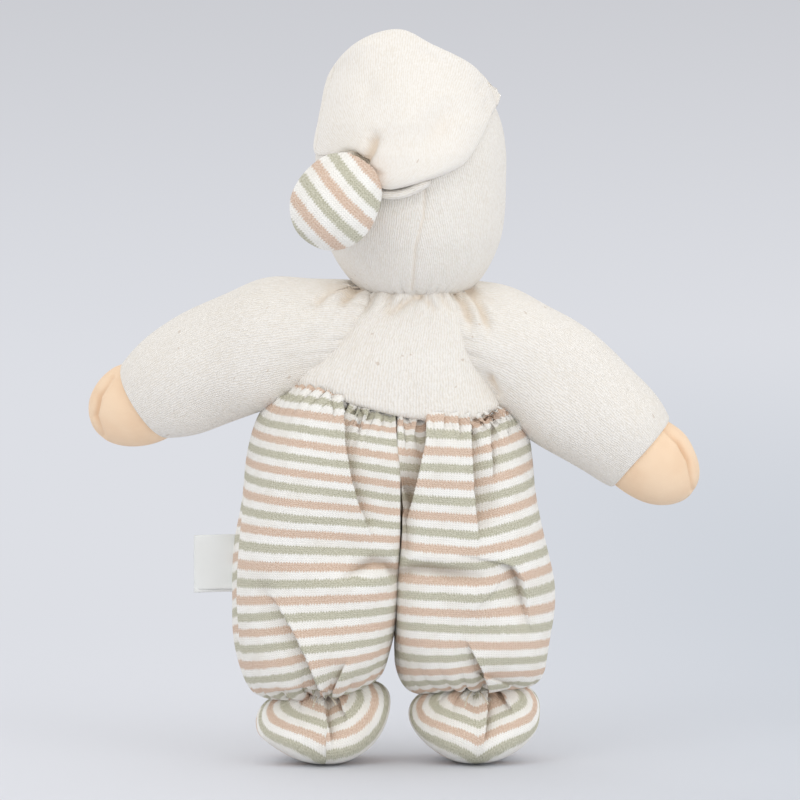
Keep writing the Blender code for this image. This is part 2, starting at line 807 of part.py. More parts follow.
def build_label(doll):
    """Two leaves of white tape sewn into the side seam, one standing a little above the other."""
    back = label_leaf(FIT_GAP / 2, -LABEL_STEP / 2, LABEL_LENGTH)
    add_piece("care_label_back", back, doll["label"], TAPE_COLOUR)
    front = label_leaf(-LABEL_TAPE - FIT_GAP / 2, LABEL_STEP / 2, LABEL_LENGTH)
    add_piece("care_label_front", front, doll["label"], TAPE_COLOUR)


def turn_z(angle):
    return Matrix.Rotation(angle, 4, "Z")


def turn_y(angle):
    return Matrix.Rotation(angle, 4, "Y")


def build_skeleton():
    """Every joint as an empty on its axis. Pieces that move together share one."""
    doll = {}
    doll["trunk"] = joint_empty("trunk_frame", None, (0, TRUNK_SHIFT_BACK, 0))
    doll["neck"] = joint_empty("neck_frame", doll["trunk"], (NECK_SHIFT, 0, NECK_HEIGHT))
    doll["head"] = joint_empty("head_frame", doll["neck"], (0, 0, 0))
    doll["hood_tail"] = joint_empty("hood_tail_frame", doll["head"], tail_hinge())
    hang = Matrix.Rotation(BOBBLE_LIFT, 4, "X")
    lean = turn_y(-BOBBLE_LEAN)
    doll["bobble"] = joint_empty("bobble_frame", doll["hood_tail"], tail_tip() - tail_hinge(), hang @ lean)
    for side, sign in SIDE_SIGN.items():
        shoulder = (SHOULDER_SHIFT + sign * SHOULDER_SPREAD, 0, SHOULDER_HEIGHT)
        facing = turn_z(0 if sign > 0 else math.pi)
        aim = turn_z(-sign * ARM_FORWARD[side]) @ facing @ turn_y(ARM_DROP[side])
        doll["arm_" + side] = joint_empty("arm_frame_" + side, doll["trunk"], shoulder, aim)
        wrist = (SLEEVE_LENGTH + WRIST_STEP, 0, 0)
        doll["hand_" + side] = joint_empty("hand_frame_" + side, doll["arm_" + side], wrist)
        hip = (sign * HIP_SPREAD, 0, HIP_HEIGHT)
        doll["leg_" + side] = joint_empty("leg_frame_" + side, doll["trunk"], hip)
        ankle = (ankle_offset(side), 0, ANKLE_HEIGHT - HIP_HEIGHT)
        doll["foot_" + side] = joint_empty("foot_frame_" + side, doll["leg_" + side], ankle)
    doll["label"] = joint_empty("label_frame", doll["leg_left"], (LEG_HALF_WIDTH + LABEL_GAP, 0, 0))
    bpy.context.view_layer.update()
    return doll


def build_doll():
    clear_scene()
    doll = build_skeleton()
    build_trunk(doll)
    build_head(doll)
    build_tail(doll)
    build_bobble(doll)
    for side in SIDE_SIGN:
        build_arm(doll, side)
        build_leg(doll, side)
    build_label(doll)


build_doll()
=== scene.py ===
import math

import bpy
import numpy as np
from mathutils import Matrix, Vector


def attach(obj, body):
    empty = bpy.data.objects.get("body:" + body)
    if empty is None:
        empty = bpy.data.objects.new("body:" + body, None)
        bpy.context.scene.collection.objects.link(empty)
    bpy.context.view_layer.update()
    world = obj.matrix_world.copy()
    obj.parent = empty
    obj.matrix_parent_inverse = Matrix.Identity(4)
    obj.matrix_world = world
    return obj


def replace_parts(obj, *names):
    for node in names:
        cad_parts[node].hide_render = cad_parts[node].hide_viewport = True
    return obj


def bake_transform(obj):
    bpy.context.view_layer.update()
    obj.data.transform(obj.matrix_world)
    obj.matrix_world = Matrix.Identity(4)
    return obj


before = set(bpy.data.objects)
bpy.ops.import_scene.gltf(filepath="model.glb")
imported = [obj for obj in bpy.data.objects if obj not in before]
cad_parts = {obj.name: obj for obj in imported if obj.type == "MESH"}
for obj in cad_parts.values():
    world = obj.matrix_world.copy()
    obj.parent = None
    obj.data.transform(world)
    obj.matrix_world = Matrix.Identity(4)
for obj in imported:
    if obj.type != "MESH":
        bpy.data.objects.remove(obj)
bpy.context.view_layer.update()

# Camera, lamps and backdrop.
# The doll stands on a pale paper sweep in soft light. It is seen from behind through a long lens,
# from a little above and a little to its own left.
PIXEL = 0.000435
PHOTO_MIDDLE = 400
PHOTO_ZERO = (397, 766)
CAMERA_DISTANCE = 2.6
CAMERA_RISE = math.radians(4)
CAMERA_TURN = math.radians(2)
SENSOR = 36


def from_camera(distance, turn, rise):
    flat = math.cos(rise) * distance
    return Vector((math.sin(turn) * flat, math.cos(turn) * flat, math.sin(rise) * distance))


def look_from(thing, place, target):
    thing.location = place
    thing.rotation_euler = (Vector(target) - Vector(place)).to_track_quat("-Z", "Y").to_euler()


aim = Vector(((PHOTO_ZERO[0] - PHOTO_MIDDLE) * PIXEL, 0, (PHOTO_ZERO[1] - PHOTO_MIDDLE) * PIXEL))
camera = bpy.data.objects.new("camera", bpy.data.cameras.new("camera"))
bpy.context.scene.collection.objects.link(camera)
camera.data.sensor_width = SENSOR
camera.data.lens = SENSOR * CAMERA_DISTANCE / (2 * PHOTO_MIDDLE * PIXEL)
look_from(camera, aim + from_camera(CAMERA_DISTANCE, CAMERA_TURN, CAMERA_RISE), aim)
bpy.context.scene.camera = camera
bpy.context.scene.view_settings.view_transform = "Standard"

lamps = (
    ("key", (1.4, 1.9, 1.35), 1.5, 9),
    ("fill", (-1.6, 1.6, 0.6), 1.6, 13),
    ("front", (0.6, -2.0, 1.6), 1.6, 6),
)
for name, place, size, power in lamps:
    lamp = bpy.data.objects.new(name + "_lamp", bpy.data.lights.new(name + "_lamp", "AREA"))
    bpy.context.scene.collection.objects.link(lamp)
    lamp.data.size = size
    lamp.data.energy = power
    look_from(lamp, place, aim)


class Socket:
    """A shader socket that takes part in arithmetic."""

    def __init__(self, finish, socket):
        self.finish = finish
        self.socket = socket

    def math(self, operation, *values):
        return self.finish.add("ShaderNodeMath", {"operation": operation}, dict(enumerate(values)))

    def __add__(self, other):
        return self.math("ADD", self, other)

    def __radd__(self, other):
        return self.math("ADD", other, self)

    def __sub__(self, other):
        return self.math("SUBTRACT", self, other)

    def __rsub__(self, other):
        return self.math("SUBTRACT", other, self)

    def __mul__(self, other):
        return self.math("MULTIPLY", self, other)

    def __rmul__(self, other):
        return self.math("MULTIPLY", other, self)

    def __truediv__(self, other):
        return self.math("DIVIDE", self, other)

    def fract(self):
        return self.math("FRACT", self)

    def size(self):
        return self.math("ABSOLUTE", self)

    def wave(self):
        """A smooth wave that repeats with each whole number, from -1 to 1."""
        return self.math("COSINE", self * (2 * math.pi))

    def rise(self, low, high):
        """0 below low, 1 above high, and a smooth step between them."""
        sockets = {0: self, 1: low, 2: high}
        return self.finish.add("ShaderNodeMapRange", {"interpolation_type": "SMOOTHSTEP"}, sockets)


class Finish:
    """The look of one material: its shader, and the nodes that feed it."""

    def __init__(self, name, roughness, sheen=0):
        self.material = bpy.data.materials.new(name)
        self.material.use_nodes = True
        self.tree = self.material.node_tree
        self.shader = self.tree.nodes["Principled BSDF"]
        self.shader.inputs["Roughness"].default_value = roughness
        self.shader.inputs["Specular IOR Level"].default_value = 0.2
        self.shader.inputs["Sheen Weight"].default_value = sheen

    def add(self, kind, settings, sockets, output=0):
        """Adds a node: its settings first, then the values or links of its sockets."""
        node = self.tree.nodes.new(kind)
        for name, value in settings.items():
            setattr(node, name, value)
        for name, value in sockets.items():
            if isinstance(value, Socket):
                self.tree.links.new(value.socket, node.inputs[name])
            else:
                node.inputs[name].default_value = value
        return Socket(self, node.outputs[output])

    def mix(self, share, one, other):
        return self.add("ShaderNodeMix", {"data_type": "RGBA"}, {0: share, 6: one, 7: other}, 2)

    def parts(self, vector):
        return [self.add("ShaderNodeSeparateXYZ", {}, {0: vector}, axis) for axis in range(3)]

    def together(self, *values):
        return self.add("ShaderNodeCombineXYZ", {}, dict(enumerate(values)))

    def cloth(self):
        """How far a point lies round and along the flat cloth, in metres, and how deep in a fold, which sets
        the painted fold shade.
        """
        return self.parts(self.add("ShaderNodeAttribute", {"attribute_name": "cloth"}, {}, "Vector"))

    def noise(self, vector, scale, detail=2):
        return self.add("ShaderNodeTexNoise", {}, {"Vector": vector, "Scale": scale, "Detail": detail})

    def colour(self, value):
        self.tree.links.new(value.socket, self.shader.inputs["Base Color"])

    def bump(self, height, distance, strength=1):
        sockets = {"Height": height, "Distance": distance, "Strength": strength}
        bump = self.add("ShaderNodeBump", {}, sockets)
        self.tree.links.new(bump.socket, self.shader.inputs["Normal"])


def level(*eights):
    """A colour as it looks on a screen, from 0 to 255, for the shader."""
    return (*[((value / 255 + 0.055) / 1.055) ** 2.4 for value in eights], 1)


paper = Finish("paper_sweep", 1)
across, away, height = paper.parts(paper.add("ShaderNodeNewGeometry", {}, {}, "Position"))
# Painted shade: the paper darkens the farther it lies, on the floor and up the sweep, toward the lower right,
# and on the floor nearest the camera.
far = height - away * 0.1
upper = paper.mix(far.rise(0.2, 1.0), level(221, 223, 229), level(197, 198, 203))
lower_right_shade = (1 - far.rise(0.05, 0.35)) * (across * -1).rise(-0.1, 0.3)
upper = paper.mix(lower_right_shade * 0.9, upper, level(205, 210, 218))
paper.colour(paper.mix(away.rise(0.0, 1.6) * 0.5, upper, level(205, 207, 212)))
# Behind the doll, camera, glossy and through rays see the paper as a painted glow of these colours, not its
# lit colour.
painted_glow = paper.add("ShaderNodeEmission", {}, {0: upper})
rays = ("Is Camera Ray", "Is Glossy Ray", "Is Transmission Ray")
camera_ray, glossy_ray, through_ray = [paper.add("ShaderNodeLightPath", {}, {}, ray) for ray in rays]
seen = camera_ray + glossy_ray + through_ray
share = seen * (away * -1).rise(0.06, 0.6)
shown = paper.add("ShaderNodeMixShader", {}, {0: share, 1: Socket(paper, paper.shader.outputs[0]), 2: painted_glow})
paper.tree.links.new(shown.socket, paper.tree.nodes["Material Output"].inputs[0])

SWEEP_WIDTH = 5.0
SWEEP_FRONT = 2.8
SWEEP_BACK = -3.4
SWEEP_BEND = 0.6
SWEEP_TOP = 2.6
profile = [(SWEEP_FRONT, 0)]
for step in range(17):
    angle = math.pi / 2 * step / 16
    profile.append((SWEEP_BACK - SWEEP_BEND * math.sin(angle), SWEEP_BEND * (1 - math.cos(angle))))
profile.append((SWEEP_BACK - SWEEP_BEND, SWEEP_TOP))
corners = [(x, y, z) for y, z in profile for x in (-SWEEP_WIDTH / 2, SWEEP_WIDTH / 2)]
faces = [(2 * i, 2 * i + 1, 2 * i + 3, 2 * i + 2) for i in range(len(profile) - 1)]
sweep_mesh = bpy.data.meshes.new("paper_sweep")
sweep_mesh.from_pydata(corners, [], faces)
sweep_mesh.shade_smooth()
sweep_mesh.materials.append(paper.material)
sweep = bpy.data.objects.new("paper_sweep", sweep_mesh)
bpy.context.scene.collection.objects.link(sweep)

world = bpy.data.worlds.new("daylight")
world.use_nodes = True
world.node_tree.nodes["Background"].inputs["Color"].default_value = (1.0, 1.0, 1.0, 1)
world.node_tree.nodes["Background"].inputs["Strength"].default_value = 0.91
bpy.context.scene.world = world

# Trousers.
# Striped cotton jersey, cut as two halves that meet in a seam down the middle of the back and the
# front. They are gathered into the waist seam and tied off at the ankles.
TRUNK_MIDDLE = -0.0075
TROUSER_ROWS = 210
TROUSER_COLUMNS = (90, 220)
TROUSER_CLOTH = 0.250
STRIPE_REPEAT = 0.0139
STRIPE_HALF = 0.0018
WAIST_HEIGHT = 0.156
WAIST_LINE = (
    (-0.048, 0.1578),
    (-0.033, 0.1528),
    (-0.018, 0.1518),
    (0.000, 0.1542),
    (0.025, 0.1602),
    (0.042, 0.1655),
)


def curve_through(rows, count):
    """A smooth curve through the rows of a table, in even steps along it."""
    rows = np.array(rows, float)
    rows = np.vstack((2 * rows[0] - rows[1], rows, 2 * rows[-1] - rows[-2]))
    share = np.linspace(0, 1, 24, endpoint=False)[:, None]
    pieces = []
    for a, b, c, d in zip(rows, rows[1:], rows[2:], rows[3:]):
        bend = (2 * a - 5 * b + 4 * c - d) * share ** 2 + (3 * b - a - 3 * c + d) * share ** 3
        pieces.append((2 * b + (c - a) * share + bend) / 2)
    curve = np.vstack((*pieces, rows[-2:-1]))
    steps = np.linalg.norm(np.diff(curve, axis=0), axis=1)
    length = np.concatenate(([0], np.cumsum(steps)))
    even = np.linspace(0, length[-1], count)
    return np.stack([np.interp(even, length, column) for column in curve.T], axis=1)


def evenly(count):
    return np.linspace(0, 1, count, endpoint=False)


def halves(front, back):
    """Shares of the way round: few in the first half, which is the front, and many in the back."""
    return np.concatenate((evenly(front) / 2, 0.5 + evenly(back) / 2))


def space_out(rings, shares):
    """Places the points of each closed ring at the given shares of the way round it."""
    result = []
    for points in rings:
        points = np.vstack((points, points[:1]))
        steps = np.linalg.norm(np.diff(points, axis=0), axis=1)
        length = np.concatenate(([0], np.cumsum(steps)))
        places = shares * length[-1]
        result.append(np.stack([np.interp(places, length, axis) for axis in points.T], axis=1))
    return np.array(result)


def outward(points):
    """The direction away from the middle at each point of a tube."""
    along = np.gradient(points, axis=0)
    across = np.roll(points, -1, axis=1) - np.roll(points, 1, axis=1)
    normal = np.cross(across, along)
    normal /= np.maximum(np.linalg.norm(normal, axis=2, keepdims=True), 1e-12)
    away = points - points.mean(axis=1, keepdims=True)
    return normal if (normal * away).sum() > 0 else -normal


def lay_cloth(points, width, shares):
    """Flat places of the cloth: true shares round the tube, and true lengths along it."""
    steps = np.linalg.norm(np.diff(points, axis=0), axis=2)
    cloth = np.zeros((points.shape[0], points.shape[1] + 1, 3))
    cloth[:, :, 0] = np.append(shares, 1) * width
    cloth[1:, :-1, 1] = np.cumsum(steps, axis=0)
    cloth[:, -1, 1] = cloth[:, 0, 1]
    return cloth


def add_to_cloth(cloth, axis, amount):
    cloth[:, :-1, axis] += amount
    cloth[:, -1, axis] += amount[:, 0]


def on_photo(points):
    """Where points of the doll's back appear in the photograph, in its pixels."""
    down = points[..., 2] * math.cos(CAMERA_RISE) - points[..., 1] * math.sin(CAMERA_RISE)
    return PHOTO_ZERO[0] - points[..., 0] / PIXEL, PHOTO_ZERO[1] - down / PIXEL


def smooth(share):
    share = np.clip(share, 0, 1)
    return share * share * (3 - 2 * share)


def along_path(points, path):
    """Distance in metres from a path on the photograph, left of the way it runs, the share of the
    way along it, and the direction in which the distance grows."""
    across, down = on_photo(points)
    nearest = np.full(across.shape, 1e9)
    signed = np.zeros(across.shape)
    share = np.zeros(across.shape)
    way = np.zeros(points.shape)
    for step, ((x, y), (x_next, y_next)) in enumerate(zip(path, path[1:])):
        dx, dy = x_next - x, y_next - y
        length = math.hypot(dx, dy)
        part = np.clip(((across - x) * dx + (down - y) * dy) / length ** 2, 0, 1)
        off_x, off_y = across - x - part * dx, down - y - part * dy
        distance = np.hypot(off_x, off_y)
        closer = distance < nearest
        nearest = np.where(closer, distance, nearest)
        signed = np.where(closer, distance * np.sign(dx * off_y - dy * off_x), signed)
        share = np.where(closer, (step + part) / (len(path) - 1), share)
        way = np.where(closer[..., None], (dy / length, 0, -dx / length), way)
    return signed * PIXEL, share, way


def strength_along(share, ends):
    start, end = ends
    early = start + (1 - start) * smooth(2 * share)
    late = end + (1 - end) * smooth(2 - 2 * share)
    return np.where(share < 0.5, early, late)


FACING_GAIN = 2.5
FACING_START = 0.2
CREASE_SHADE = 0.8
LAP_STEP = 0.0009
LAP_OVERHANG = 0.0009
LAP_ROLL = 0.006
LAP_EDGE_REACH = 0.0025
LAP_SLIP_REACH = 0.018
LAP_SHADE_REACH = 0.0028
LAP_FULL_SHADE_DEPTH = 0.003


def facing(points):
    """1 where the photograph shows the surface well, down to 0 on its far side."""
    return np.clip(outward(points)[..., 1] * FACING_GAIN + FACING_START, 0, 1)


def crease(points, cloth, path, width, depth, ends=(0, 0)):
    """Presses a soft valley into the side that the photograph shows, or raises it if depth < 0."""
    signed, share, _ = along_path(points, path)
    press = np.exp(-(signed / width) ** 2) * strength_along(share, ends) * facing(points)
    # Painted shade: a pressed valley is also painted darker through the cloth's fold depth.
    if depth > 0:
        add_to_cloth(cloth, 2, press * min(1, depth / width * CREASE_SHADE))
    return points - outward(points) * (press * depth)[..., None]


def lap(points, cloth, path, front, lift, depth, reach, ends=(0, 0), slip=0):
    """Folds the cloth so that one side lies over the other. The covered side dips under it."""
    signed, share, way = along_path(points, path)
    signed = signed * front
    strength = strength_along(share, ends) * facing(points)
    upper = smooth(signed / LAP_STEP + 0.5)
    above = np.exp(-np.maximum(signed, 0) / LAP_ROLL) * upper
    below = np.exp(np.minimum(signed, 0) / reach) * (1 - upper)
    near = np.exp(-np.abs(signed) / LAP_EDGE_REACH)
    shift = (lift * above - depth * below) * strength
    slide = front * LAP_OVERHANG * near * (1 - upper * 2) * strength
    covered = np.minimum(signed, 0)
    add_to_cloth(cloth, 1, slip * np.exp(covered / LAP_SLIP_REACH) * (1 - upper) * strength)
    # Painted shade: the covered side of a lap is painted darker, fading away from the lap's edge.
    painted_dip_shade = np.exp(covered / LAP_SHADE_REACH) * (1 - upper)
    add_to_cloth(cloth, 2, painted_dip_shade * strength * min(1, depth / LAP_FULL_SHADE_DEPTH))
    return points + outward(points) * shift[..., None] + way * slide[..., None]


def gathers(points, along, reach, depth, count, seed):
    """Small pleats round a gathered edge, that fade out along the cloth."""
    random = np.random.default_rng(seed)
    steps = np.linalg.norm(np.roll(points, -1, axis=1) - points, axis=2).mean(axis=0)
    share = (np.cumsum(steps) - steps) / steps.sum()
    place = share * count
    for times in (2, 3, 5):
        place = place + np.sin(2 * math.pi * (times * share + random.random())) * count / 36 / times
    ridge = np.abs(np.sin(math.pi * place)) ** 0.6 - 0.55
    number = np.floor(place).astype(int) % count
    size = random.uniform(0.4, 1, count)[number]
    length = reach * random.uniform(0.6, 1.5, count)[number]
    for _ in range(4):
        size = (size + np.roll(size, 1) + np.roll(size, -1)) / 3
        length = (length + np.roll(length, 1) + np.roll(length, -1)) / 3
    fade = np.exp(-(along / length) ** 1.4)
    return points + outward(points) * (depth * ridge * size * fade)[..., None]


def ripple(points, size, depth, seed):
    """Soft unevenness of stuffed cloth: a sum of smooth waves across space."""
    random = np.random.default_rng(seed)
    shift = np.zeros(points.shape[:2])
    for _ in range(9):
        direction = random.normal(size=3)
        direction *= 2 * math.pi / (size * random.uniform(0.7, 1.6)) / np.linalg.norm(direction)
        shift += np.sin(points @ direction + random.uniform(0, 2 * math.pi))
    return points + outward(points) * (depth * shift / 3)[..., None]


def sew(name, points, cloth, finish, close_start=False, close_end=False):
    """Makes the tube of cloth as a mesh that knows its flat places."""
    rows, columns = points.shape[:2]
    index = np.arange(rows * columns).reshape(rows, columns)
    after = np.roll(index, -1, axis=1)
    quads = np.stack((index[:-1], after[:-1], after[1:], index[1:]), axis=-1).reshape(-1, 4)
    corner = np.stack((cloth[:-1, :-1], cloth[:-1, 1:], cloth[1:, 1:], cloth[1:, :-1]), axis=2)
    corner = corner.reshape(-1, 4, 3)
    middles = points.mean(axis=1)
    spokes = points - middles[:, None]
    turn = np.cross(spokes, np.roll(spokes, -1, axis=1)).sum(axis=1)
    if (turn[:-1] * np.diff(middles, axis=0)).sum() < 0:
        quads = quads[:, ::-1]
        corner = corner[:, ::-1]
    faces = quads.tolist()
    corner = corner.reshape(-1, 3)
    for closed, row in ((close_start, 0), (close_end, -1)):
        if closed:
            inward = turn[row] @ (middles[row] - middles[rows // 2]) < 0
            order = -1 if inward else 1
            faces.append(index[row][::order].tolist())
            corner = np.vstack((corner, cloth[row, :-1][::order]))
    mesh = bpy.data.meshes.new(name)
    mesh.from_pydata(points.reshape(-1, 3).tolist(), [], faces)
    attribute = mesh.attributes.new("cloth", "FLOAT_VECTOR", "CORNER")
    attribute.data.foreach_set("vector", corner.astype(np.float32).ravel())
    mesh.shade_smooth()
    mesh.materials.append(finish.material)
    piece = bpy.data.objects.new(name, mesh)
    bpy.context.scene.collection.objects.link(piece)
    return piece


WAIST_FADE_LOW = 0.095
WAIST_FADE_SPAN = 0.055


def waist_shift(points):
    """How far the waist seam rises or sags from its mean height, fading out away from it."""
    places, heights = zip(*WAIST_LINE)
    shift = np.interp(points[..., 0], places, heights) - WAIST_HEIGHT
    return shift * smooth((points[..., 2] - WAIST_FADE_LOW) / WAIST_FADE_SPAN)


STITCH_WIDTH = 0.00125
STITCH_HEIGHT = 0.00095
STRIPE_TOOTH = 0.0014
STRIPE_UNEVEN = 0.0013
STRIPE_EDGE = 0.0005


def striped_jersey(name):
    """Knitted jersey: fine columns of V stitches, which give each stripe its toothed edges."""
    knit = Finish(name, 0.95, 0.1)
    around, along, deep = knit.cloth()
    place = knit.together(around, along, 0)
    tooth = ((around / STITCH_WIDTH).fract() - 0.5).size()
    uneven = knit.noise(place, 420) - 0.5
    fleck = knit.noise(place, 1500, 3)
    row = along / STITCH_HEIGHT + tooth * 1.2
    phase = ((along + tooth * STRIPE_TOOTH + uneven * STRIPE_UNEVEN) / STRIPE_REPEAT).fract()
    edge = STRIPE_EDGE / STRIPE_REPEAT
    half = STRIPE_HALF / STRIPE_REPEAT
    yarn = (fleck * 2.2 - 0.42 + row.wave() * 0.12).rise(0.0, 1.3)
    green = 1 - (phase - 0.25).size().rise(half - edge, half + edge)
    tan = 1 - (phase - 0.75).size().rise(half - edge, half + edge)
    shade = knit.noise(place, 90, 3)
    white = knit.mix(shade.rise(0.3, 0.8), level(250, 248, 243), level(241, 237, 229))
    colour = knit.mix(green, white, knit.mix(yarn, level(176, 173, 149), level(217, 214, 197)))
    colour = knit.mix(tan, colour, knit.mix(yarn, level(206, 174, 150), level(233, 213, 196)))
    # Painted shade: cloth deep in folds and laps is painted a warm brown.
    knit.colour(knit.mix(deep.rise(0.0, 1.2) * 0.66, colour, level(150, 128, 104)))
    stitch = row.wave() * 0.35 - tooth * 1.0 + fleck * 0.9
    knit.bump(stitch, 0.0004, 0.6)
    return knit


striped = striped_jersey("striped_jersey")


RING_STEPS = 720
OUTER_SQUARENESS = 2.35


def pillow_rings(table, count, side, shares):
    """Level rings from a table of height, outer and inner side, back and front, and squareness."""
    angles = np.linspace(math.pi, 3 * math.pi, RING_STEPS, endpoint=False)
    cosine, sine = np.cos(angles), np.sin(angles)
    rings = []
    for z, outer, inner, back, front, square in curve_through(table, count) / 1000:
        power = np.where(cosine > 0, OUTER_SQUARENESS, square * 1000)
        x = (outer + inner) / 2 + (outer - inner) / 2 * np.sign(cosine) * np.abs(cosine) ** (2 / power)
        y = (back + front) / 2 + (back - front) / 2 * np.sign(sine) * np.abs(sine) ** (2 / power)
        rings.append(np.stack((side * x, y, np.full(len(x), z)), axis=1))
    return space_out(rings, shares)


LEFT_TROUSER = (
    (157.5, 44.5, -0.6, 18.0, -33.0, 16),
    (154.0, 48.5, -0.6, 20.5, -35.5, 16),
    (149.0, 55.0, -0.6, 24.0, -38.5, 16),
    (141.0, 61.0, -0.6, 26.5, -41.0, 16),
    (131.0, 64.5, -0.6, 28.0, -42.5, 16),
    (118.0, 67.4, -0.6, 28.2, -43.0, 15),
    (105.0, 69.3, -0.6, 27.6, -42.4, 13),
    (92.0, 70.4, -0.6, 26.8, -41.8, 9),
    (79.0, 71.2, -0.2, 26.2, -41.2, 6),
    (66.0, 70.8, 0.6, 26.0, -41.0, 4.8),
    (54.0, 69.8, 1.0, 25.4, -40.2, 3.9),
    (45.0, 68.4, 1.8, 23.6, -38.2, 3.2),
    (38.5, 66.2, 3.2, 20.2, -34.6, 2.7),
    (34.0, 62.4, 6.0, 15.2, -29.4, 2.4),
    (31.8, 56.0, 11.0, 9.6, -23.6, 2.3),
    (31.8, 49.0, 16.0, 4.6, -19.0, 2.25),
    (32.6, 42.0, 22.0, 1.0, -16.0, 2.2),
    (33.0, 38.3, 24.7, -0.7, -14.3, 2.2),
)
# How much slimmer the right half is at each row of the left half's table.
RIGHT_SLIM = (-1.5, -1.0, 1.5, 4.5, 5.8, 6.0, 5.6, 4.2, 3.0, 2.4, 2.4, 2.0, 1.0, 0.0, -1.5, -2.0, -3.0, -3.0)
RIGHT_TROUSER = tuple((z, outer - slim, *rest) for (z, outer, *rest), slim in zip(LEFT_TROUSER, RIGHT_SLIM))
STRIPE_START = {"left": 0.0031, "right": 0.0028}
FOOT_LEAN = {"left": -0.16, "right": -0.06}
# The slope of the stripes at each height.
STRIPE_LEAN = {
    "left": (
        (0.035, 0.0),
        (0.050, -0.04),
        (0.064, -0.08),
        (0.085, -0.02),
        (0.100, 0.06),
        (0.122, 0.13),
        (0.157, 0.16),
    ),
    "right": ((0.035, 0.06), (0.060, 0.05), (0.080, 0.04), (0.100, 0.07), (0.157, 0.04)),
}
# Each lap: its path, the side on top, how far that side lifts and the other dips, how far the dip
# reaches, its strength at both ends, and how far the covered stripes slip.
LAPS = {
    "left": (
        (
            ((341, 404), (343, 443), (349, 477), (357, 507), (368, 530), (378, 545)),
            1, 0.0014, 0.0052, 0.012, (1, 0), 0.0012,
        ),
        (((352, 404), (355, 425), (359, 444)), 1, 0.0006, 0.0016, 0.003, (1, 0), 0),
        (((378, 404), (380, 418), (381, 432)), 1, 0.0005, 0.0014, 0.003, (1, 0), 0),
        (((362, 403), (364, 417), (367, 431)), 1, 0.0005, 0.0018, 0.003, (1, 0), 0),
        (((329, 398), (331, 411), (333, 424)), 1, 0.0004, 0.0012, 0.003, (1, 0), 0),
        (
            ((262, 586), (275, 603), (292, 630), (305, 657), (313, 677), (319, 690)),
            -1, 0.0014, 0.0048, 0.012, (0, 1), 0.0025,
        ),
        (((347, 655), (340, 673), (333, 690)), -1, 0.0006, 0.0026, 0.005, (0, 1), 0.001),
        (((318, 690), (300, 686), (280, 690), (262, 694)), 1, 0.0004, 0.0012, 0.004, (0.8, 0), 0),
    ),
    "right": (
        (
            ((426, 404), (424, 443), (418, 470), (412, 500), (405, 523), (400, 548)),
            -1, 0.0016, 0.0058, 0.014, (1, 0.3), -0.0017,
        ),
        (
            ((467, 404), (468, 440), (471, 497), (475, 527), (478, 556)),
            1, 0.0012, 0.0040, 0.008, (1, 0), 0.001,
        ),
        (((487, 404), (488, 440), (490, 470), (492, 486)), 1, 0.0008, 0.0028, 0.004, (1, 0), 0.001),
        (((442, 410), (441, 424), (440, 438)), 1, 0.0005, 0.0014, 0.003, (1, 0), 0),
        (((455, 409), (456, 426), (458, 443)), 1, 0.0006, 0.0020, 0.0035, (1, 0), 0),
        (((478, 408), (479, 424), (480, 440)), 1, 0.0005, 0.0016, 0.003, (1, 0), 0),
        (((503, 403), (505, 424), (508, 446)), 1, 0.0006, 0.0022, 0.004, (1, 0), 0),
        (
            ((484, 560), (498, 563), (511, 567), (519, 580), (523, 600), (526, 622), (534, 640)),
            -1, 0.0020, 0.0048, 0.010, (0.2, 0), 0.001,
        ),
        (((460, 634), (473, 657), (482, 673), (489, 690)), -1, 0.0012, 0.0036, 0.008, (0, 1), 0.002),
        (((488, 679), (500, 684), (512, 690), (526, 696)), 1, 0.0006, 0.0022, 0.004, (1, 0), 0),
    ),
}
# Each soft fold: its path, its half width and depth, and its strength at both ends.
SOFT_FOLDS = {
    "left": (
        (((382, 470), (388, 500), (394, 535)), 0.0050, 0.0016, (0, 0.4)),
        (((330, 536), (352, 530), (372, 545)), 0.0040, -0.0014, (0, 0)),
        (((397, 574), (384, 564), (370, 561), (356, 568), (344, 573), (328, 562)), 0.0030, 0.0034, (1, 0)),
        (((395, 588), (376, 578), (352, 586), (318, 584), (290, 574)), 0.0080, -0.0022, (0.4, 0)),
        (((300, 478), (304, 520), (300, 548)), 0.0120, -0.0014, (0, 0)),
        (((254, 600), (262, 590), (276, 582)), 0.0040, 0.0018, (0.4, 0)),
    ),
    "right": (
        (((408, 404), (410, 450), (407, 500), (401, 548)), 0.0056, 0.0010, (1, 0)),
        (((446, 420), (446, 470), (440, 530)), 0.0050, -0.0016, (0.6, 0)),
        (((405, 470), (403, 505), (400, 548)), 0.0042, 0.0034, (0.2, 0.8)),
        (((397, 573), (408, 569), (425, 568), (450, 573), (476, 577), (492, 570)), 0.0032, 0.0036, (1, 0.2)),
        (((402, 560), (424, 556), (452, 560), (474, 560)), 0.0040, -0.0016, (0.4, 0)),
        (((480, 470), (484, 510), (480, 546)), 0.0050, 0.0018, (0.4, 0)),
        (((440, 600), (475, 596), (505, 600)), 0.0090, -0.0016, (0, 0)),
    ),
}
SIDE_SEAM = ((249, 455), (243, 500), (239, 550), (237, 600), (239, 645), (246, 678))


ANKLE_LOW = 0.032
ANKLE_SPAN = 0.034
OUTER_SLOPE = 0.32
OUTER_START = -0.033
OUTER_LOW = 0.045
OUTER_SPAN = 0.075
WAIST_GATHERS = (0.011, 0.0030, 44)
ANKLE_GATHERS = (0.014, 0.0026, 17)
ANKLE_FLAT = 0.014
SEAM_NEAR = 0.001
SEAM_SPAN = 0.003
SEAM_OVERLAP = 0.0006
SIDE_SEAM_LAP = (-1, 0.0003, 0.0012, 0.004, (0, 0), 0.0035)


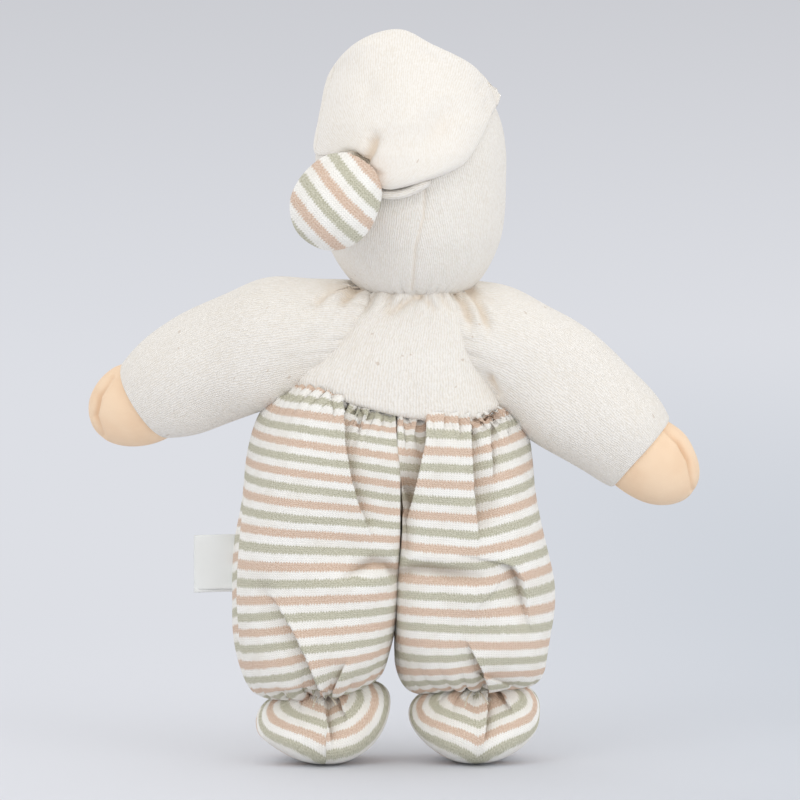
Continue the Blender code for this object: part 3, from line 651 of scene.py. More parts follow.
def trouser_half(side_name, side, table):
    """One half: a tube, flat where it meets the other half, that narrows to the ankle tie."""
    shares = halves(*TROUSER_COLUMNS)
    points = pillow_rings(table, TROUSER_ROWS, side, shares)
    level_heights = points[..., 2].copy()
    raised = waist_shift(points)
    points[..., 2] += raised
    low = 1 - smooth((points[..., 2] - ANKLE_LOW) / ANKLE_SPAN)
    points[..., 2] += (points[..., 0] - points[-1, :, 0].mean()) * FOOT_LEAN[side_name] * low
    cloth = lay_cloth(points, TROUSER_CLOTH, shares)
    lean_heights, leans = zip(*STRIPE_LEAN[side_name])
    from_middle = points[..., 0] - points[..., 0].mean()
    slant = np.interp(level_heights, lean_heights, leans) * from_middle
    outer = np.maximum(OUTER_START - points[..., 0], 0)
    slant += OUTER_SLOPE * outer * smooth((level_heights - OUTER_LOW) / OUTER_SPAN)
    even = cloth[:, :-1, 1].mean(axis=1, keepdims=True)
    add_to_cloth(cloth, 1, even - cloth[:, :-1, 1] - raised + slant + STRIPE_START[side_name])
    points = ripple(points, 0.05, 0.0012, 3 + side)
    points = gathers(points, even, *WAIST_GATHERS, 11 + side)
    from_ankle = np.maximum(even[-1] - even - ANKLE_FLAT, 0)
    points = gathers(points, from_ankle, *ANKLE_GATHERS, 21 + side)
    unfolded = points[..., 0].copy()
    for fold in SOFT_FOLDS[side_name]:
        points = crease(points, cloth, *fold)
    for fold in LAPS[side_name]:
        points = lap(points, cloth, *fold)
    if side > 0:
        points = lap(points, cloth, SIDE_SEAM, *SIDE_SEAM_LAP)
    joined = 1 - smooth((side * unfolded - SEAM_NEAR) / SEAM_SPAN)
    beside = side * (points[..., 0] * (1 - joined) + unfolded * joined)
    points[..., 0] = side * np.maximum(beside, -SEAM_OVERLAP)
    return sew("trousers_" + side_name, points, cloth, striped)


HIP = (0.035, TRUNK_MIDDLE, 0.088)
for side_name, side, table in (("left", 1, LEFT_TROUSER), ("right", -1, RIGHT_TROUSER)):
    trousers = trouser_half(side_name, side, table)
    hip = Vector((side * HIP[0], *HIP[1:]))
    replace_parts(trousers, "trouser_leg_" + side_name, "leg_stuffing_" + side_name)
    if side > 0:
        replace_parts(trousers, "trouser_seat", "trunk_stuffing")
    "leg_" + side_name
    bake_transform(trousers)

# Feet.
# Each foot is a round bag of the same jersey, with its stripes in arcs round the ankle tie and a
# pleat down its back. It stands on its flattened sole.
FOOT_ROWS = 120
FOOT_COLUMNS = (60, 150)
FOOT_CLOTH = 0.19
LEFT_FOOT = (
    (33.0, 38.3, 24.7, -0.7, -14.3, 2.2),
    (33.0, 43.0, 21.0, 0.6, -17.5, 2.2),
    (32.2, 50.0, 14.0, 3.0, -23.0, 2.2),
    (30.2, 56.5, 7.4, 6.2, -29.0, 2.2),
    (26.0, 60.4, 3.4, 11.0, -34.0, 2.25),
    (20.5, 61.4, 2.6, 16.4, -38.0, 2.3),
    (14.0, 60.0, 5.0, 20.0, -38.5, 2.3),
    (8.0, 54.5, 10.0, 19.6, -35.5, 2.3),
    (3.6, 47.5, 16.0, 15.5, -30.0, 2.3),
    (1.2, 41.0, 21.5, 9.5, -24.5, 2.3),
    (0.25, 35.0, 27.0, 1.0, -17.0, 2.3),
    (0.1, 32.0, 30.0, -7.5, -9.5, 2.3),
)
RIGHT_FOOT = tuple(
    (z, outer + 3.2 * (1 - abs(outer - 31.5) / 60), inner + 3.0, *rest)
    for z, outer, inner, *rest in LEFT_FOOT
)
FOOT_LAPS = {
    "left": (
        (((325, 690), (324, 712), (329, 735), (331, 755)), 1, 0.0010, 0.0034, 0.005, (1, 0), 0.0008),
        (((336, 690), (341, 708), (348, 724)), -1, 0.0006, 0.0020, 0.004, (1, 0), 0),
        (((314, 690), (306, 692), (298, 696)), 1, 0.0004, 0.0014, 0.003, (1, 0), 0),
        (((345, 690), (356, 690), (366, 700)), -1, 0.0004, 0.0014, 0.003, (1, 0), 0),
    ),
    "right": (
        (((487, 693), (486, 712), (483, 735), (482, 752)), 1, 0.0010, 0.0034, 0.005, (1, 0), 0.0008),
        (((502, 694), (507, 704), (514, 716)), -1, 0.0006, 0.0020, 0.004, (1, 0), 0),
        (((474, 696), (466, 698), (456, 704)), 1, 0.0004, 0.0014, 0.003, (1, 0), 0),
    ),
}
SOLE_LOW = 0.004
SOLE_SPAN = 0.022
STAR_PLACE = (0, 0.0140, 0.0010)
STAR_DEPTH = 0.017
STRIPE_DROP = 0.92
STRIPE_SPREAD = 0.46
FOOT_FLAT = 0.010
FOOT_GATHERS = (0.009, 0.0024, 15)
for side_name, side, table in (("left", 1, LEFT_FOOT), ("right", -1, RIGHT_FOOT)):
    shares = halves(*FOOT_COLUMNS)
    points = pillow_rings(table, FOOT_ROWS, side, shares)
    tie = points[0].mean(axis=0)
    lean = FOOT_LEAN[side_name] * smooth((points[..., 2] - SOLE_LOW) / SOLE_SPAN)
    points[..., 2] += (points[..., 0] - tie[0]) * lean
    cloth = lay_cloth(points, FOOT_CLOTH, shares)
    length = cloth[:, :-1, 1].copy()
    star = tie + np.array(STAR_PLACE)
    beside = points[..., 0] - star[0]
    behind = np.minimum(np.abs(points[..., 1] - star[1]), STAR_DEPTH)
    below = np.hypot(behind, points[..., 2] - star[2])
    pointed = STRIPE_DROP * below + STRIPE_SPREAD * np.abs(beside)
    bent = np.where((beside < 0) & (side > 0), np.hypot(beside, below), pointed)
    add_to_cloth(cloth, 1, bent * 1.05 - length)
    points = gathers(points, np.maximum(length - FOOT_FLAT, 0), *FOOT_GATHERS, 31 + side)
    for fold in FOOT_LAPS[side_name]:
        points = lap(points, cloth, *fold)
    points[..., 2] = np.maximum(points[..., 2], 0)
    foot = sew("foot_bag_" + side_name, points, cloth, striped, close_end=True)
    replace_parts(foot, "foot_cover_" + side_name, "foot_stuffing_" + side_name)
    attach(foot, "foot_" + side_name)

# Bodice.
# Cream terry with a soft knobbly face, drawn in at the neck by small gathers. Its lower edge is
# turned under and sewn to the gathered trousers.
BODICE_ROWS = 130
BODICE_COLUMNS = (90, 190)
BODICE_CLOTH = 0.200
BODICE = (
    (155.0, 0.0, 43.0, 24.5),
    (155.8, 0.0, 45.2, 26.6),
    (157.4, 0.0, 45.9, 27.5),
    (160.5, 0.0, 45.2, 27.6),
    (165.0, -0.2, 43.4, 27.6),
    (172.0, -0.8, 41.0, 27.2),
    (182.0, -2.2, 38.0, 25.8),
    (191.0, -4.4, 34.5, 23.8),
    (198.0, -6.2, 30.0, 22.0),
    (203.0, -7.6, 25.4, 20.4),
    (206.5, -8.2, 21.4, 18.6),
    (208.5, -8.4, 18.0, 16.0),
    (209.5, -8.4, 12.0, 11.5),
)


def cream_terry(name, relief):
    """Terry knit: wavy upright rows of tiny loops with soft gaps between them."""
    terry = Finish(name, 1.0, 0.2)
    around, along, deep = terry.cloth()
    place = terry.together(around, along, 0)
    wander = terry.noise(place, 240, 2) - 0.5
    row = (around / 0.00108 + wander * 1.6).wave()
    cells = {"Vector": terry.together(around / 0.00110, along / 0.0015, 0), "Scale": 1.0}
    broken = terry.add("ShaderNodeTexVoronoi", {}, cells, "Distance")
    fuzz = terry.noise(place, 1700, 3)
    patch = terry.noise(place, 55, 2)
    loops = row * 0.32 + (1 - broken) * 0.75 + fuzz * 0.7 + patch * 0.4
    # Painted shade: the gaps between the loops, where the relief is low, are painted darker.
    gap_shade = 1 - loops.rise(0.30, 1.35)
    cream = terry.mix(gap_shade, level(243, 239, 233), level(233, 226, 215))
    speck = terry.noise(place, 330, 0).rise(0.825, 0.85)
    cream = terry.mix(speck * 0.35, cream, level(180, 150, 120))
    # Painted shade: cloth deep in folds and seams is painted a warm beige.
    terry.colour(terry.mix(deep.rise(0.1, 1.3) * 0.5, cream, level(229, 205, 174)))
    terry.bump(loops, 0.0006, 0.5 * relief)
    return terry


terry = cream_terry("cream_terry", 1.0)


def oval_rings(table, count, shares, power, front=1.0):
    """Level rings from a table of height, shift across, half width and half depth, in millimetres."""
    angles = np.linspace(math.pi, 3 * math.pi, RING_STEPS, endpoint=False)
    cosine, sine = np.cos(angles), np.sin(angles)
    rings = []
    for z, shift, wide, deep in curve_through(table, count) / 1000:
        x = shift + wide * np.sign(cosine) * np.abs(cosine) ** (2 / power)
        reach = deep * np.where(sine < 0, front, 1.0)
        y = TRUNK_MIDDLE + reach * np.sign(sine) * np.abs(sine) ** (2 / power)
        rings.append(np.stack((x, y, np.full(len(x), z)), axis=1))
    return space_out(rings, shares)


RAGLAN_FOLDS = {
    "left": (
        (((358, 286), (346, 298), (337, 311)), 0.0026, 0.0036, (1, 0)),
        (((358, 284), (333, 290), (317, 303), (309, 318)), 0.0028, 0.0028, (1, 0)),
    ),
    "right": (
        (((454, 288), (463, 304), (468, 322), (471, 340)), 0.0028, 0.0042, (1, 0)),
        (((468, 288), (479, 307), (485, 324), (489, 342)), 0.0024, 0.0034, (1, 0)),
        (((464, 288), (480, 293), (494, 304), (506, 322)), 0.0028, 0.0014, (1, 0)),
    ),
}
BODICE_FOLDS = (
    (((372, 292), (366, 304), (360, 320)), 0.0022, 0.0016, (1, 0)),
    (((392, 293), (386, 305), (378, 322)), 0.0022, 0.0014, (1, 0)),
    (((416, 297), (402, 304), (389, 314), (380, 328)), 0.0022, 0.0020, (1, 0)),
    (((423, 297), (432, 309), (438, 322)), 0.0020, 0.0014, (1, 0)),
    (((440, 296), (447, 306), (452, 320)), 0.0024, 0.0014, (1, 0)),
    (((404, 296), (398, 300), (388, 306)), 0.0020, -0.0010, (1, 0)),
)
shares = halves(*BODICE_COLUMNS)
points = oval_rings(BODICE, BODICE_ROWS, shares, 2.9)
points[..., 2] += waist_shift(points) * (1 - smooth((points[..., 2] - 0.160) / 0.025))
cloth = lay_cloth(points, BODICE_CLOTH, shares)
points = ripple(points, 0.04, 0.0006, 5)
left = cloth[-1:, :-1, 1] - cloth[:, :-1, 1]
points = gathers(points, np.maximum(left - 0.008, 0), 0.008, 0.0016, 24, 41)
for fold in (*BODICE_FOLDS, *RAGLAN_FOLDS["left"], *RAGLAN_FOLDS["right"]):
    points = crease(points, cloth, *fold)
bodice = sew("bodice_terry", points, cloth, terry, close_end=True)
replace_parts(bodice, "bodice", "neck_ball")
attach(bodice, "trunk")

# Sleeves.
# Raglan sleeves of the same terry, plump with wool. Each is set into a slanting seam from the neck
# to the armpit and narrows to a turned-in cuff.
SLEEVE_ROWS = 170
SLEEVE_COLUMNS = 220
SLEEVE_CLOTH = 0.165
LEFT_SLEEVE = (
    (20.0, -7.5, 186.0, 0.86, 0.0, 0.51, 22.0, 16.0),
    (23.5, -7.5, 186.8, 0.87, 0.0, 0.48, 25.6, 20.6),
    (31.0, -7.6, 186.8, 0.90, -0.05, 0.35, 27.0, 23.8),
    (46.0, -9.5, 184.8, 0.93, -0.18, 0.10, 27.0, 25.8),
    (60.0, -14.5, 181.8, 0.90, -0.30, -0.20, 26.6, 25.6),
    (72.0, -19.8, 177.7, 0.87, -0.33, -0.32, 26.6, 25.4),
    (84.0, -25.0, 172.0, 0.85, -0.34, -0.38, 26.0, 24.6),
    (95.0, -29.8, 165.4, 0.82, -0.34, -0.44, 24.4, 23.2),
    (102.5, -33.0, 160.6, 0.80, -0.33, -0.49, 22.2, 21.2),
    (107.4, -35.0, 157.4, 0.79, -0.32, -0.51, 20.0, 19.0),
    (108.8, -35.6, 156.5, 0.79, -0.32, -0.51, 18.9, 18.0),
    (108.0, -35.3, 157.0, 0.79, -0.32, -0.51, 17.2, 16.2),
    (103.5, -33.4, 159.8, 0.79, -0.32, -0.51, 15.5, 14.5),
)
RIGHT_SLEEVE = (
    (-22.0, -7.5, 186.0, -0.88, 0.0, 0.44, 22.0, 16.0),
    (-25.5, -7.5, 186.4, -0.89, 0.0, 0.38, 25.4, 20.6),
    (-34.0, -7.5, 185.0, -0.91, 0.0, 0.22, 27.0, 24.0),
    (-47.5, -7.8, 180.6, -0.91, 0.0, -0.18, 27.0, 25.4),
    (-57.0, -8.0, 175.4, -0.86, 0.0, -0.46, 26.8, 25.2),
    (-66.5, -8.2, 168.6, -0.81, 0.0, -0.58, 26.7, 24.8),
    (-80.0, -8.8, 158.5, -0.79, 0.0, -0.61, 26.4, 24.2),
    (-91.0, -9.2, 148.8, -0.78, 0.0, -0.62, 24.6, 22.6),
    (-99.5, -9.5, 141.6, -0.77, 0.0, -0.64, 22.2, 20.6),
    (-105.0, -9.7, 136.8, -0.77, 0.0, -0.64, 20.0, 18.6),
    (-106.6, -9.8, 135.4, -0.77, 0.0, -0.64, 18.8, 17.6),
    (-105.8, -9.8, 136.0, -0.77, 0.0, -0.64, 17.0, 15.9),
    (-101.0, -9.6, 139.8, -0.77, 0.0, -0.64, 15.3, 14.3),
)
SLEEVE_FOLDS = {
    "left": (
        (((348, 290), (330, 298), (318, 314)), 0.0020, -0.0014, (1, 0)),
        (((326, 322), (312, 340), (300, 362)), 0.0030, 0.0012, (0.4, 0.4)),
        (((352, 282), (328, 283), (306, 290)), 0.0024, 0.0012, (1, 0)),
    ),
    "right": (
        (((484, 372), (489, 384), (496, 396)), 0.0022, 0.0030, (0.2, 0.6)),
    ),
}


def leaning_rings(table, count, columns):
    """Rings from a table of middle, facing, half height and half depth, for an arm or a hand."""
    angles = 2 * math.pi * evenly(columns) - math.pi / 2
    rings = []
    for row in curve_through(np.array(table) * ((1,) * 3 + (20,) * 3 + (1, 1)), count):
        middle, facing_way, high, deep = row[:3], row[3:6], row[6], row[7]
        facing_way = facing_way / np.linalg.norm(facing_way)
        away = np.cross(facing_way, (0, 0, 1))
        away /= np.linalg.norm(away)
        up = np.cross(away, facing_way)
        rings.append(middle + np.outer(np.sin(angles) * high, up) + np.outer(np.cos(angles) * deep, away))
    return np.array(rings) / 1000


for side_name, side, table in (("left", 1, LEFT_SLEEVE), ("right", -1, RIGHT_SLEEVE)):
    points = leaning_rings(table, SLEEVE_ROWS, SLEEVE_COLUMNS)
    cloth = lay_cloth(points, SLEEVE_CLOTH, evenly(SLEEVE_COLUMNS))
    points = ripple(points, 0.045, 0.0009, 51 + side)
    points = gathers(points, np.maximum(cloth[:, :-1, 1] - 0.006, 0), 0.008, 0.0012, 21, 61 + side)
    for fold in (*RAGLAN_FOLDS[side_name], *SLEEVE_FOLDS[side_name]):
        points = crease(points, cloth, *fold)
    sleeve = sew("sleeve_terry_" + side_name, points, cloth, terry, close_start=True, close_end=True)
    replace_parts(sleeve, "sleeve_" + side_name, "arm_stuffing_" + side_name)
    "arm_" + side_name
    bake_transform(sleeve)

# Hands.
# Plain mittens of fine skin-coloured jersey over wool, sewn into the cuffs, each with one curved
# seam round its edge.
HAND_CLOTH = 0.105
LEFT_HAND = (
    (101.0, -32.5, 159.4, 0.80, -0.33, -0.46, 15.0, 14.0),
    (107.0, -35.4, 157.2, 0.82, -0.35, -0.40, 17.8, 16.6),
    (114.0, -38.4, 155.0, 0.86, -0.37, -0.30, 18.6, 17.2),
    (120.5, -41.2, 153.6, 0.90, -0.38, -0.20, 17.6, 16.2),
    (126.5, -43.8, 152.4, 0.91, -0.38, -0.14, 14.6, 13.4),
    (130.8, -45.6, 151.8, 0.92, -0.38, -0.10, 10.0, 9.4),
    (133.0, -46.5, 151.6, 0.92, -0.38, -0.10, 4.6, 4.4),
    (133.4, -46.7, 151.5, 0.92, -0.38, -0.10, 0.3, 0.3),
)
RIGHT_HAND = (
    (-99.0, -9.6, 141.0, -0.80, 0.0, -0.60, 14.5, 13.5),
    (-105.0, -9.8, 136.4, -0.80, 0.0, -0.58, 17.4, 16.4),
    (-112.0, -10.0, 131.4, -0.82, 0.0, -0.54, 17.9, 16.8),
    (-118.5, -10.2, 127.4, -0.86, 0.0, -0.48, 16.6, 15.4),
    (-124.5, -10.4, 124.2, -0.90, 0.0, -0.42, 13.2, 12.6),
    (-129.2, -10.6, 122.2, -0.92, 0.0, -0.38, 8.8, 8.4),
    (-131.6, -10.6, 121.2, -0.92, 0.0, -0.38, 4.0, 3.8),
    (-132.0, -10.6, 121.0, -0.92, 0.0, -0.38, 0.3, 0.3),
)
HAND_SEAMS = {
    "left": ((112, 376), (98, 396), (94, 416), (102, 436)),
    "right": ((664, 430), (680, 444), (690, 462), (695, 492)),
}


def skin_jersey(name):
    """Fine cotton knit with a soft nap."""
    skin = Finish(name, 0.85, 0.1)
    around, along, deep = skin.cloth()
    place = skin.together(around, along, 0)
    tooth = ((around / 0.0007).fract() - 0.5).size()
    row = along / 0.00055 + tooth
    fuzz = skin.noise(place, 2200, 2)
    patch = skin.noise(place, 60, 2)
    colour = skin.mix(patch.rise(0.3, 0.75), level(249, 221, 190), level(244, 212, 179))
    # Painted shade: cloth deep in the seams is painted a darker tan.
    skin.colour(skin.mix(deep.rise(0.1, 1.0) * 0.6, colour, level(222, 178, 138)))
    skin.bump(row.wave() * 0.3 - tooth * 0.6 + fuzz * 0.5, 0.0002, 0.5)
    return skin


skin = skin_jersey("skin_jersey")
for side_name, table in (("left", LEFT_HAND), ("right", RIGHT_HAND)):
    points = leaning_rings(table, 90, 140)
    cloth = lay_cloth(points, HAND_CLOTH, evenly(140))
    points = ripple(points, 0.03, 0.0004, 71)
    points = crease(points, cloth, HAND_SEAMS[side_name], 0.0012, 0.0018, (0.5, 0.5))
    hand = sew("hand_jersey_" + side_name, points, cloth, skin, close_start=True, close_end=True)
    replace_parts(hand, "hand_" + side_name, "hand_stuffing_" + side_name)
    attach(hand, "hand_" + side_name)

# Hood.
# Cream terry over the stuffed head, joined down the middle of the back and gathered at the neck.
# Its opening frames the face.
HOOD_ROWS = 180
HOOD_COLUMNS = (90, 200)
HOOD_CLOTH = 0.26
HOOD_FRONT = 0.925
HOOD_POWER = 2.05
HOOD = (
    (205.0, -8.5, 14.0, 13.5),
    (206.0, -8.4, 19.5, 18.5),
    (208.0, -8.3, 24.6, 23.0),
    (212.0, -8.1, 28.8, 27.0),
    (217.0, -7.9, 32.4, 30.6),
    (223.0, -7.6, 35.6, 33.8),
    (231.0, -7.1, 38.8, 37.2),
    (243.0, -6.6, 40.8, 39.4),
    (255.0, -6.3, 41.4, 40.0),
    (267.0, -6.3, 41.4, 39.6),
    (279.0, -6.2, 39.6, 37.0),
    (289.0, -5.6, 36.0, 32.0),
    (297.0, -4.4, 31.0, 25.6),
    (306.0, -1.0, 26.8, 19.6),
    (311.5, 0.0, 20.0, 13.0),
    (315.2, 0.4, 12.0, 7.6),
    (316.8, 0.5, 5.6, 3.6),
    (317.2, 0.5, 0.4, 0.3),
)
HOOD_SEAM = ((423, 176), (421, 220), (413, 250), (411, 292))
shares = halves(*HOOD_COLUMNS)
points = oval_rings(HOOD, HOOD_ROWS, shares, HOOD_POWER, HOOD_FRONT)
cloth = lay_cloth(points, HOOD_CLOTH, shares)
length = cloth[:, :-1, 1].copy()
cloth[..., 0] = np.abs(cloth[..., 0] - 0.75 * HOOD_CLOTH)
add_to_cloth(cloth, 0, length * 0.22)
points = gathers(points, np.maximum(length - 0.006, 0), 0.006, 0.0013, 30, 81)
points = crease(points, cloth, HOOD_SEAM, 0.0010, 0.0008, (1, 1))
hood = sew("hood_terry", points, cloth, terry, close_start=True, close_end=True)
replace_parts(hood, "hood", "head_stuffing")
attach(hood, "head")

# Face.
# A bag of skin jersey fills the hood's opening behind a rolled terry edge. The small eyes and the
# mouth are embroidered.
FACE_MIDDLE = (-0.0055, 0.2515)
FACE_HALF_WIDTH = 0.0275
FACE_HALF_HEIGHT = 0.0310
EYE_SPREAD = 0.0110
EYE_HEIGHT = 0.2545
EYE_RADIUS = 0.0021
MOUTH_HEIGHT = 0.2395
MOUTH_HALF_WIDTH = 0.0048
MOUTH_SAG = 0.0016


def hood_depth(x, z):
    """How far the hood's surface lies behind its middle at a place of the back."""
    table = np.array(HOOD) / 1000
    shift, wide, deep = (np.interp(z, table[:, 0], table[:, axis]) for axis in (1, 2, 3))
    share = np.clip(np.abs((x - shift) / wide), 0, 1)
    return deep * (1 - share ** HOOD_POWER) ** (1 / HOOD_POWER)


def face_place(x, z, rise):
    """Places a little in front of the hood's front."""
    return np.stack((x, TRUNK_MIDDLE - HOOD_FRONT * hood_depth(x, z) - rise, z), axis=-1)


def face_ring(angles, share, rise):
    """Places a share of the way out to the edge of the face."""
    x = FACE_MIDDLE[0] + FACE_HALF_WIDTH * share * np.cos(angles)
    z = FACE_MIDDLE[1] + FACE_HALF_HEIGHT * share * np.sin(angles)
    return face_place(x, z, rise)


def flat_cloth(points):
    """Flat places of a piece that faces the front."""
    cloth = np.zeros((points.shape[0], points.shape[1] + 1, 3))
    cloth[:, :-1, :2] = points[..., [0, 2]]
    cloth[:, -1] = cloth[:, 0]
    return cloth


def tube_along(path, radius, sides):
    """Rings round a path. The radius is one number, or one for each place of the path."""
    way = np.gradient(path, axis=0)
    way /= np.linalg.norm(way, axis=1, keepdims=True)
    side = np.cross(way, (0, 1, 0))
    side /= np.linalg.norm(side, axis=1, keepdims=True)
    back = np.cross(side, way)
    angles = 2 * math.pi * evenly(sides)
    reach = np.broadcast_to(radius, len(path))[:, None, None]
    ring = np.cos(angles)[None, :, None] * side[:, None] + np.sin(angles)[None, :, None] * back[:, None]
    return path[:, None] + ring * reach


FACE_RISE = 0.0003
FACE_SWELL = 0.0011
angles = 2 * math.pi * evenly(120)
outward_shares = np.linspace(1, 0.02, 40)
rings = [face_ring(angles, share, FACE_RISE + FACE_SWELL * (1 - share ** 2)) for share in outward_shares]
points = np.array(rings)
face = sew("face_jersey", points, flat_cloth(points), skin, close_end=True)
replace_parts(face, "head_skin")
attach(face, "head")

points = tube_along(face_ring(np.linspace(0, 2 * math.pi, 141), 1, 0.0002), 0.0021, 16)
points[-1] = points[0]
hem = sew("face_hem", points, lay_cloth(points, 0.012, evenly(16)), terry)
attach(hem, "head")


def satin_thread(name, colour, shade):
    """Shiny embroidery thread laid in close parallel stitches."""
    thread = Finish(name, 0.45, 0.1)
    around, along, _ = thread.cloth()
    line = (around / 0.0004).wave()
    thread.colour(thread.mix(line * 0.5 + 0.5, shade, colour))
    thread.bump(line, 0.00012, 0.8)
    return thread


eye_thread = satin_thread("eye_thread", level(46, 66, 96), level(24, 36, 58))
for side_name, side in (("left", 1), ("right", -1)):
    ring = 2 * math.pi * evenly(28)
    rows = []
    for turn in np.linspace(math.pi / 2, 0.05, 9):
        x = FACE_MIDDLE[0] + side * EYE_SPREAD + EYE_RADIUS * math.sin(turn) * np.cos(ring)
        z = EYE_HEIGHT + EYE_RADIUS * 1.15 * math.sin(turn) * np.sin(ring)
        rows.append(face_place(x, z, 0.0010 + 0.0009 * math.cos(turn)))
    points = np.array(rows)
    eye = sew("eye_stitches_" + side_name, points, flat_cloth(points), eye_thread, close_end=True)
    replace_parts(eye, "eye_" + side_name)
    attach(eye, "head")

mouth_thread = satin_thread("mouth_thread", level(214, 122, 112), level(176, 84, 78))
across = np.linspace(-1, 1, 25)
heights = MOUTH_HEIGHT - MOUTH_SAG * (1 - across ** 2)
path = face_place(FACE_MIDDLE[0] + across * MOUTH_HALF_WIDTH, heights, 0.0013)
points = tube_along(path, 0.00055 * (1.02 - across ** 6), 10)
mouth = sew("mouth_stitches", points, flat_cloth(points), mouth_thread, close_start=True, close_end=True)
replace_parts(mouth, "mouth")
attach(mouth, "head")

# Hood point.
# The long point of the hood is folded over the crest to the back, narrows in soft folds, and ends in
# the tie of its bobble and a rolled hem.
POINT_ROWS = 150
POINT_HALF_COLUMNS = 110
POINT_CLEAR = 0.0068
CLEAR_LOW = 0.27
CLEAR_SPAN = 0.045
STAND_WEIGHT = 15
# Each row: seven places in the photograph from the point's left edge to its right one, how far its
# edges stand off the hood and its middle puffs out, and 1 behind the hood or -1 in front of it.
POINT = (
    ((326, 118), (335, 84), (362, 54), (400, 42), (431, 58), (472, 78), (496, 103), 0.0, 0.0, -1.0),
    ((321, 111), (331, 72), (360, 43), (399, 32), (432, 48), (475, 69), (501, 97), 0.3, 0.6, 1.0),
    ((318, 124), (328, 90), (358, 62), (399, 52), (434, 66), (472, 84), (499, 105), 1.0, 2.2, 1.0),
    ((315, 138), (326, 110), (356, 86), (398, 77), (434, 88), (467, 101), (493, 114), 1.8, 3.4, 1.0),
    ((314, 149), (327, 128), (357, 108), (397, 101), (432, 109), (462, 119), (487, 125), 2.6, 4.6, 1.0),
    ((317, 156), (333, 142), (360, 129), (396, 124), (428, 130), (456, 138), (480, 140), 3.6, 5.4, 1.0),
    ((326, 158), (341, 150), (362, 146), (393, 145), (423, 150), (450, 155), (471, 155), 5.0, 6.0, 1.0),
    ((337, 158), (347, 155), (363, 157), (389, 163), (416, 167), (442, 169), (461, 168), 6.4, 6.4, 1.0),
    ((346, 160), (352, 160), (364, 167), (383, 178), (405, 181), (428, 180), (446, 177), 7.6, 6.4, 1.0),
    ((351, 163), (355, 164), (363, 171), (376, 186), (394, 190), (412, 188), (427, 184), 8.2, 5.4, 1.0),
    ((353, 166), (356, 168), (362, 174), (372, 189), (386, 194), (400, 192), (412, 189), 8.0, 4.0, 1.0),
)
POINT_FOLDS = (
    (((359, 169), (367, 155), (372, 143), (371, 132)), 0.0024, 0.0042, (1, 0)),
    (((359, 167), (350, 159), (336, 154)), 0.0018, 0.0028, (1, 0)),
    (((405, 166), (430, 140), (447, 120), (462, 108)), 0.0062, 0.0036, (0, 0)),
    (((504, 97), (496, 101), (490, 108), (487, 120)), 0.0022, 0.0044, (1, 0)),
    (((498, 88), (484, 92), (470, 100)), 0.0026, 0.0016, (1, 0)),
    (((352, 118), (366, 95), (376, 80)), 0.0042, 0.0014, (0, 0)),
    (((380, 150), (404, 122), (430, 98)), 0.0060, -0.0018, (0, 0)),
    (((362, 172), (372, 178), (384, 184)), 0.0020, 0.0016, (1, 0)),
)


def behind_hood(line, depth_share, rise):
    """Places behind the hood from places in the photograph."""
    x = (PHOTO_ZERO[0] - line[:, 0]) * PIXEL
    down = (PHOTO_ZERO[1] - line[:, 1]) * PIXEL
    z = down
    for _ in range(6):
        clear = POINT_CLEAR * max(depth_share, 0) * smooth((z - CLEAR_LOW) / CLEAR_SPAN)
        y = TRUNK_MIDDLE + hood_depth(x, z - clear) * depth_share + rise
        z = (down + y * math.sin(CAMERA_RISE)) / math.cos(CAMERA_RISE)
    return np.stack((x, y, z), axis=1)


flat_rows = []
for row in POINT:
    places = [value for place in row[:7] for value in place]
    flat_rows.append(places + [value * STAND_WEIGHT for value in row[7:]])
rings = []
across = np.linspace(-1, 1, POINT_HALF_COLUMNS)
crown = np.maximum(1 - across ** 4, 0) ** 0.6
for row in curve_through(flat_rows, POINT_ROWS):
    line = curve_through(row[:14].reshape(7, 2), POINT_HALF_COLUMNS)
    stand, puff, way = row[14:] / STAND_WEIGHT
    outer = behind_hood(line, way, (stand * 0.5 + puff * crown) / 1000)
    inner = behind_hood(line, way, (stand * 0.2 + 0.3 - 0.3 * crown) / 1000)
    rings.append(np.vstack((outer, inner[::-1])))
points = np.array(rings)
cloth = lay_cloth(points, 0.2, evenly(2 * POINT_HALF_COLUMNS))
cloth[..., 1] += cloth[..., 0] * 0.35
for fold in POINT_FOLDS:
    points = crease(points, cloth, *fold)
brushed = cream_terry("cream_terry_brushed", 0.45)
point = sew("hood_point_terry", points, cloth, brushed, close_start=True, close_end=True)
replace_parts(point, "hood_tail")
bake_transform(point)

line = curve_through(((374, 194), (384, 199), (400, 198), (415, 192), (428, 186)), 60)
points = tube_along(behind_hood(line, 1.0, 0.0050), 0.0019 * (1.02 - np.linspace(-1, 1, 60) ** 6), 14)
cloth = lay_cloth(points, 0.012, evenly(14))
point_hem = sew("hood_point_hem", points, cloth, terry, close_start=True, close_end=True)
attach(point_hem, "hood_point")

# Bobble.
# A wool-filled ball of the striped jersey, gathered on a thread at the end of the hood's point.
BOBBLE_MIDDLE = Vector((0.0277, 0.0405, 0.2466))
BOBBLE_TIE = Vector((0.0165, 0.0345, 0.2640))
BOBBLE_ROWS = 100
BOBBLE_COLUMNS = 150
BOBBLE_RUN = np.array((0.67, 0, 0.74))
BOBBLE_STEP = np.array((0.74, 0, -0.67))
BOBBLE = (
    (-20.0, 3.0),
    (-20.6, 7.0),
    (-18.4, 11.0),
    (-14.0, 14.9),
    (-7.0, 17.5),
    (1.0, 18.5),
    (9.0, 17.2),
    (15.5, 13.0),
    (19.6, 7.2),
    (20.6, 0.3),
)
middle = np.array(BOBBLE_MIDDLE)
axis = np.array((BOBBLE_MIDDLE - BOBBLE_TIE).normalized())
side_way = np.cross(axis, (0, 1, 0))
side_way /= np.linalg.norm(side_way)
back_way = np.cross(side_way, axis)
angles = 2 * math.pi * evenly(BOBBLE_COLUMNS)
ring = np.outer(np.cos(angles), side_way) + np.outer(np.sin(angles) * 0.9, back_way)
rows = curve_through(BOBBLE, BOBBLE_ROWS) / 1000
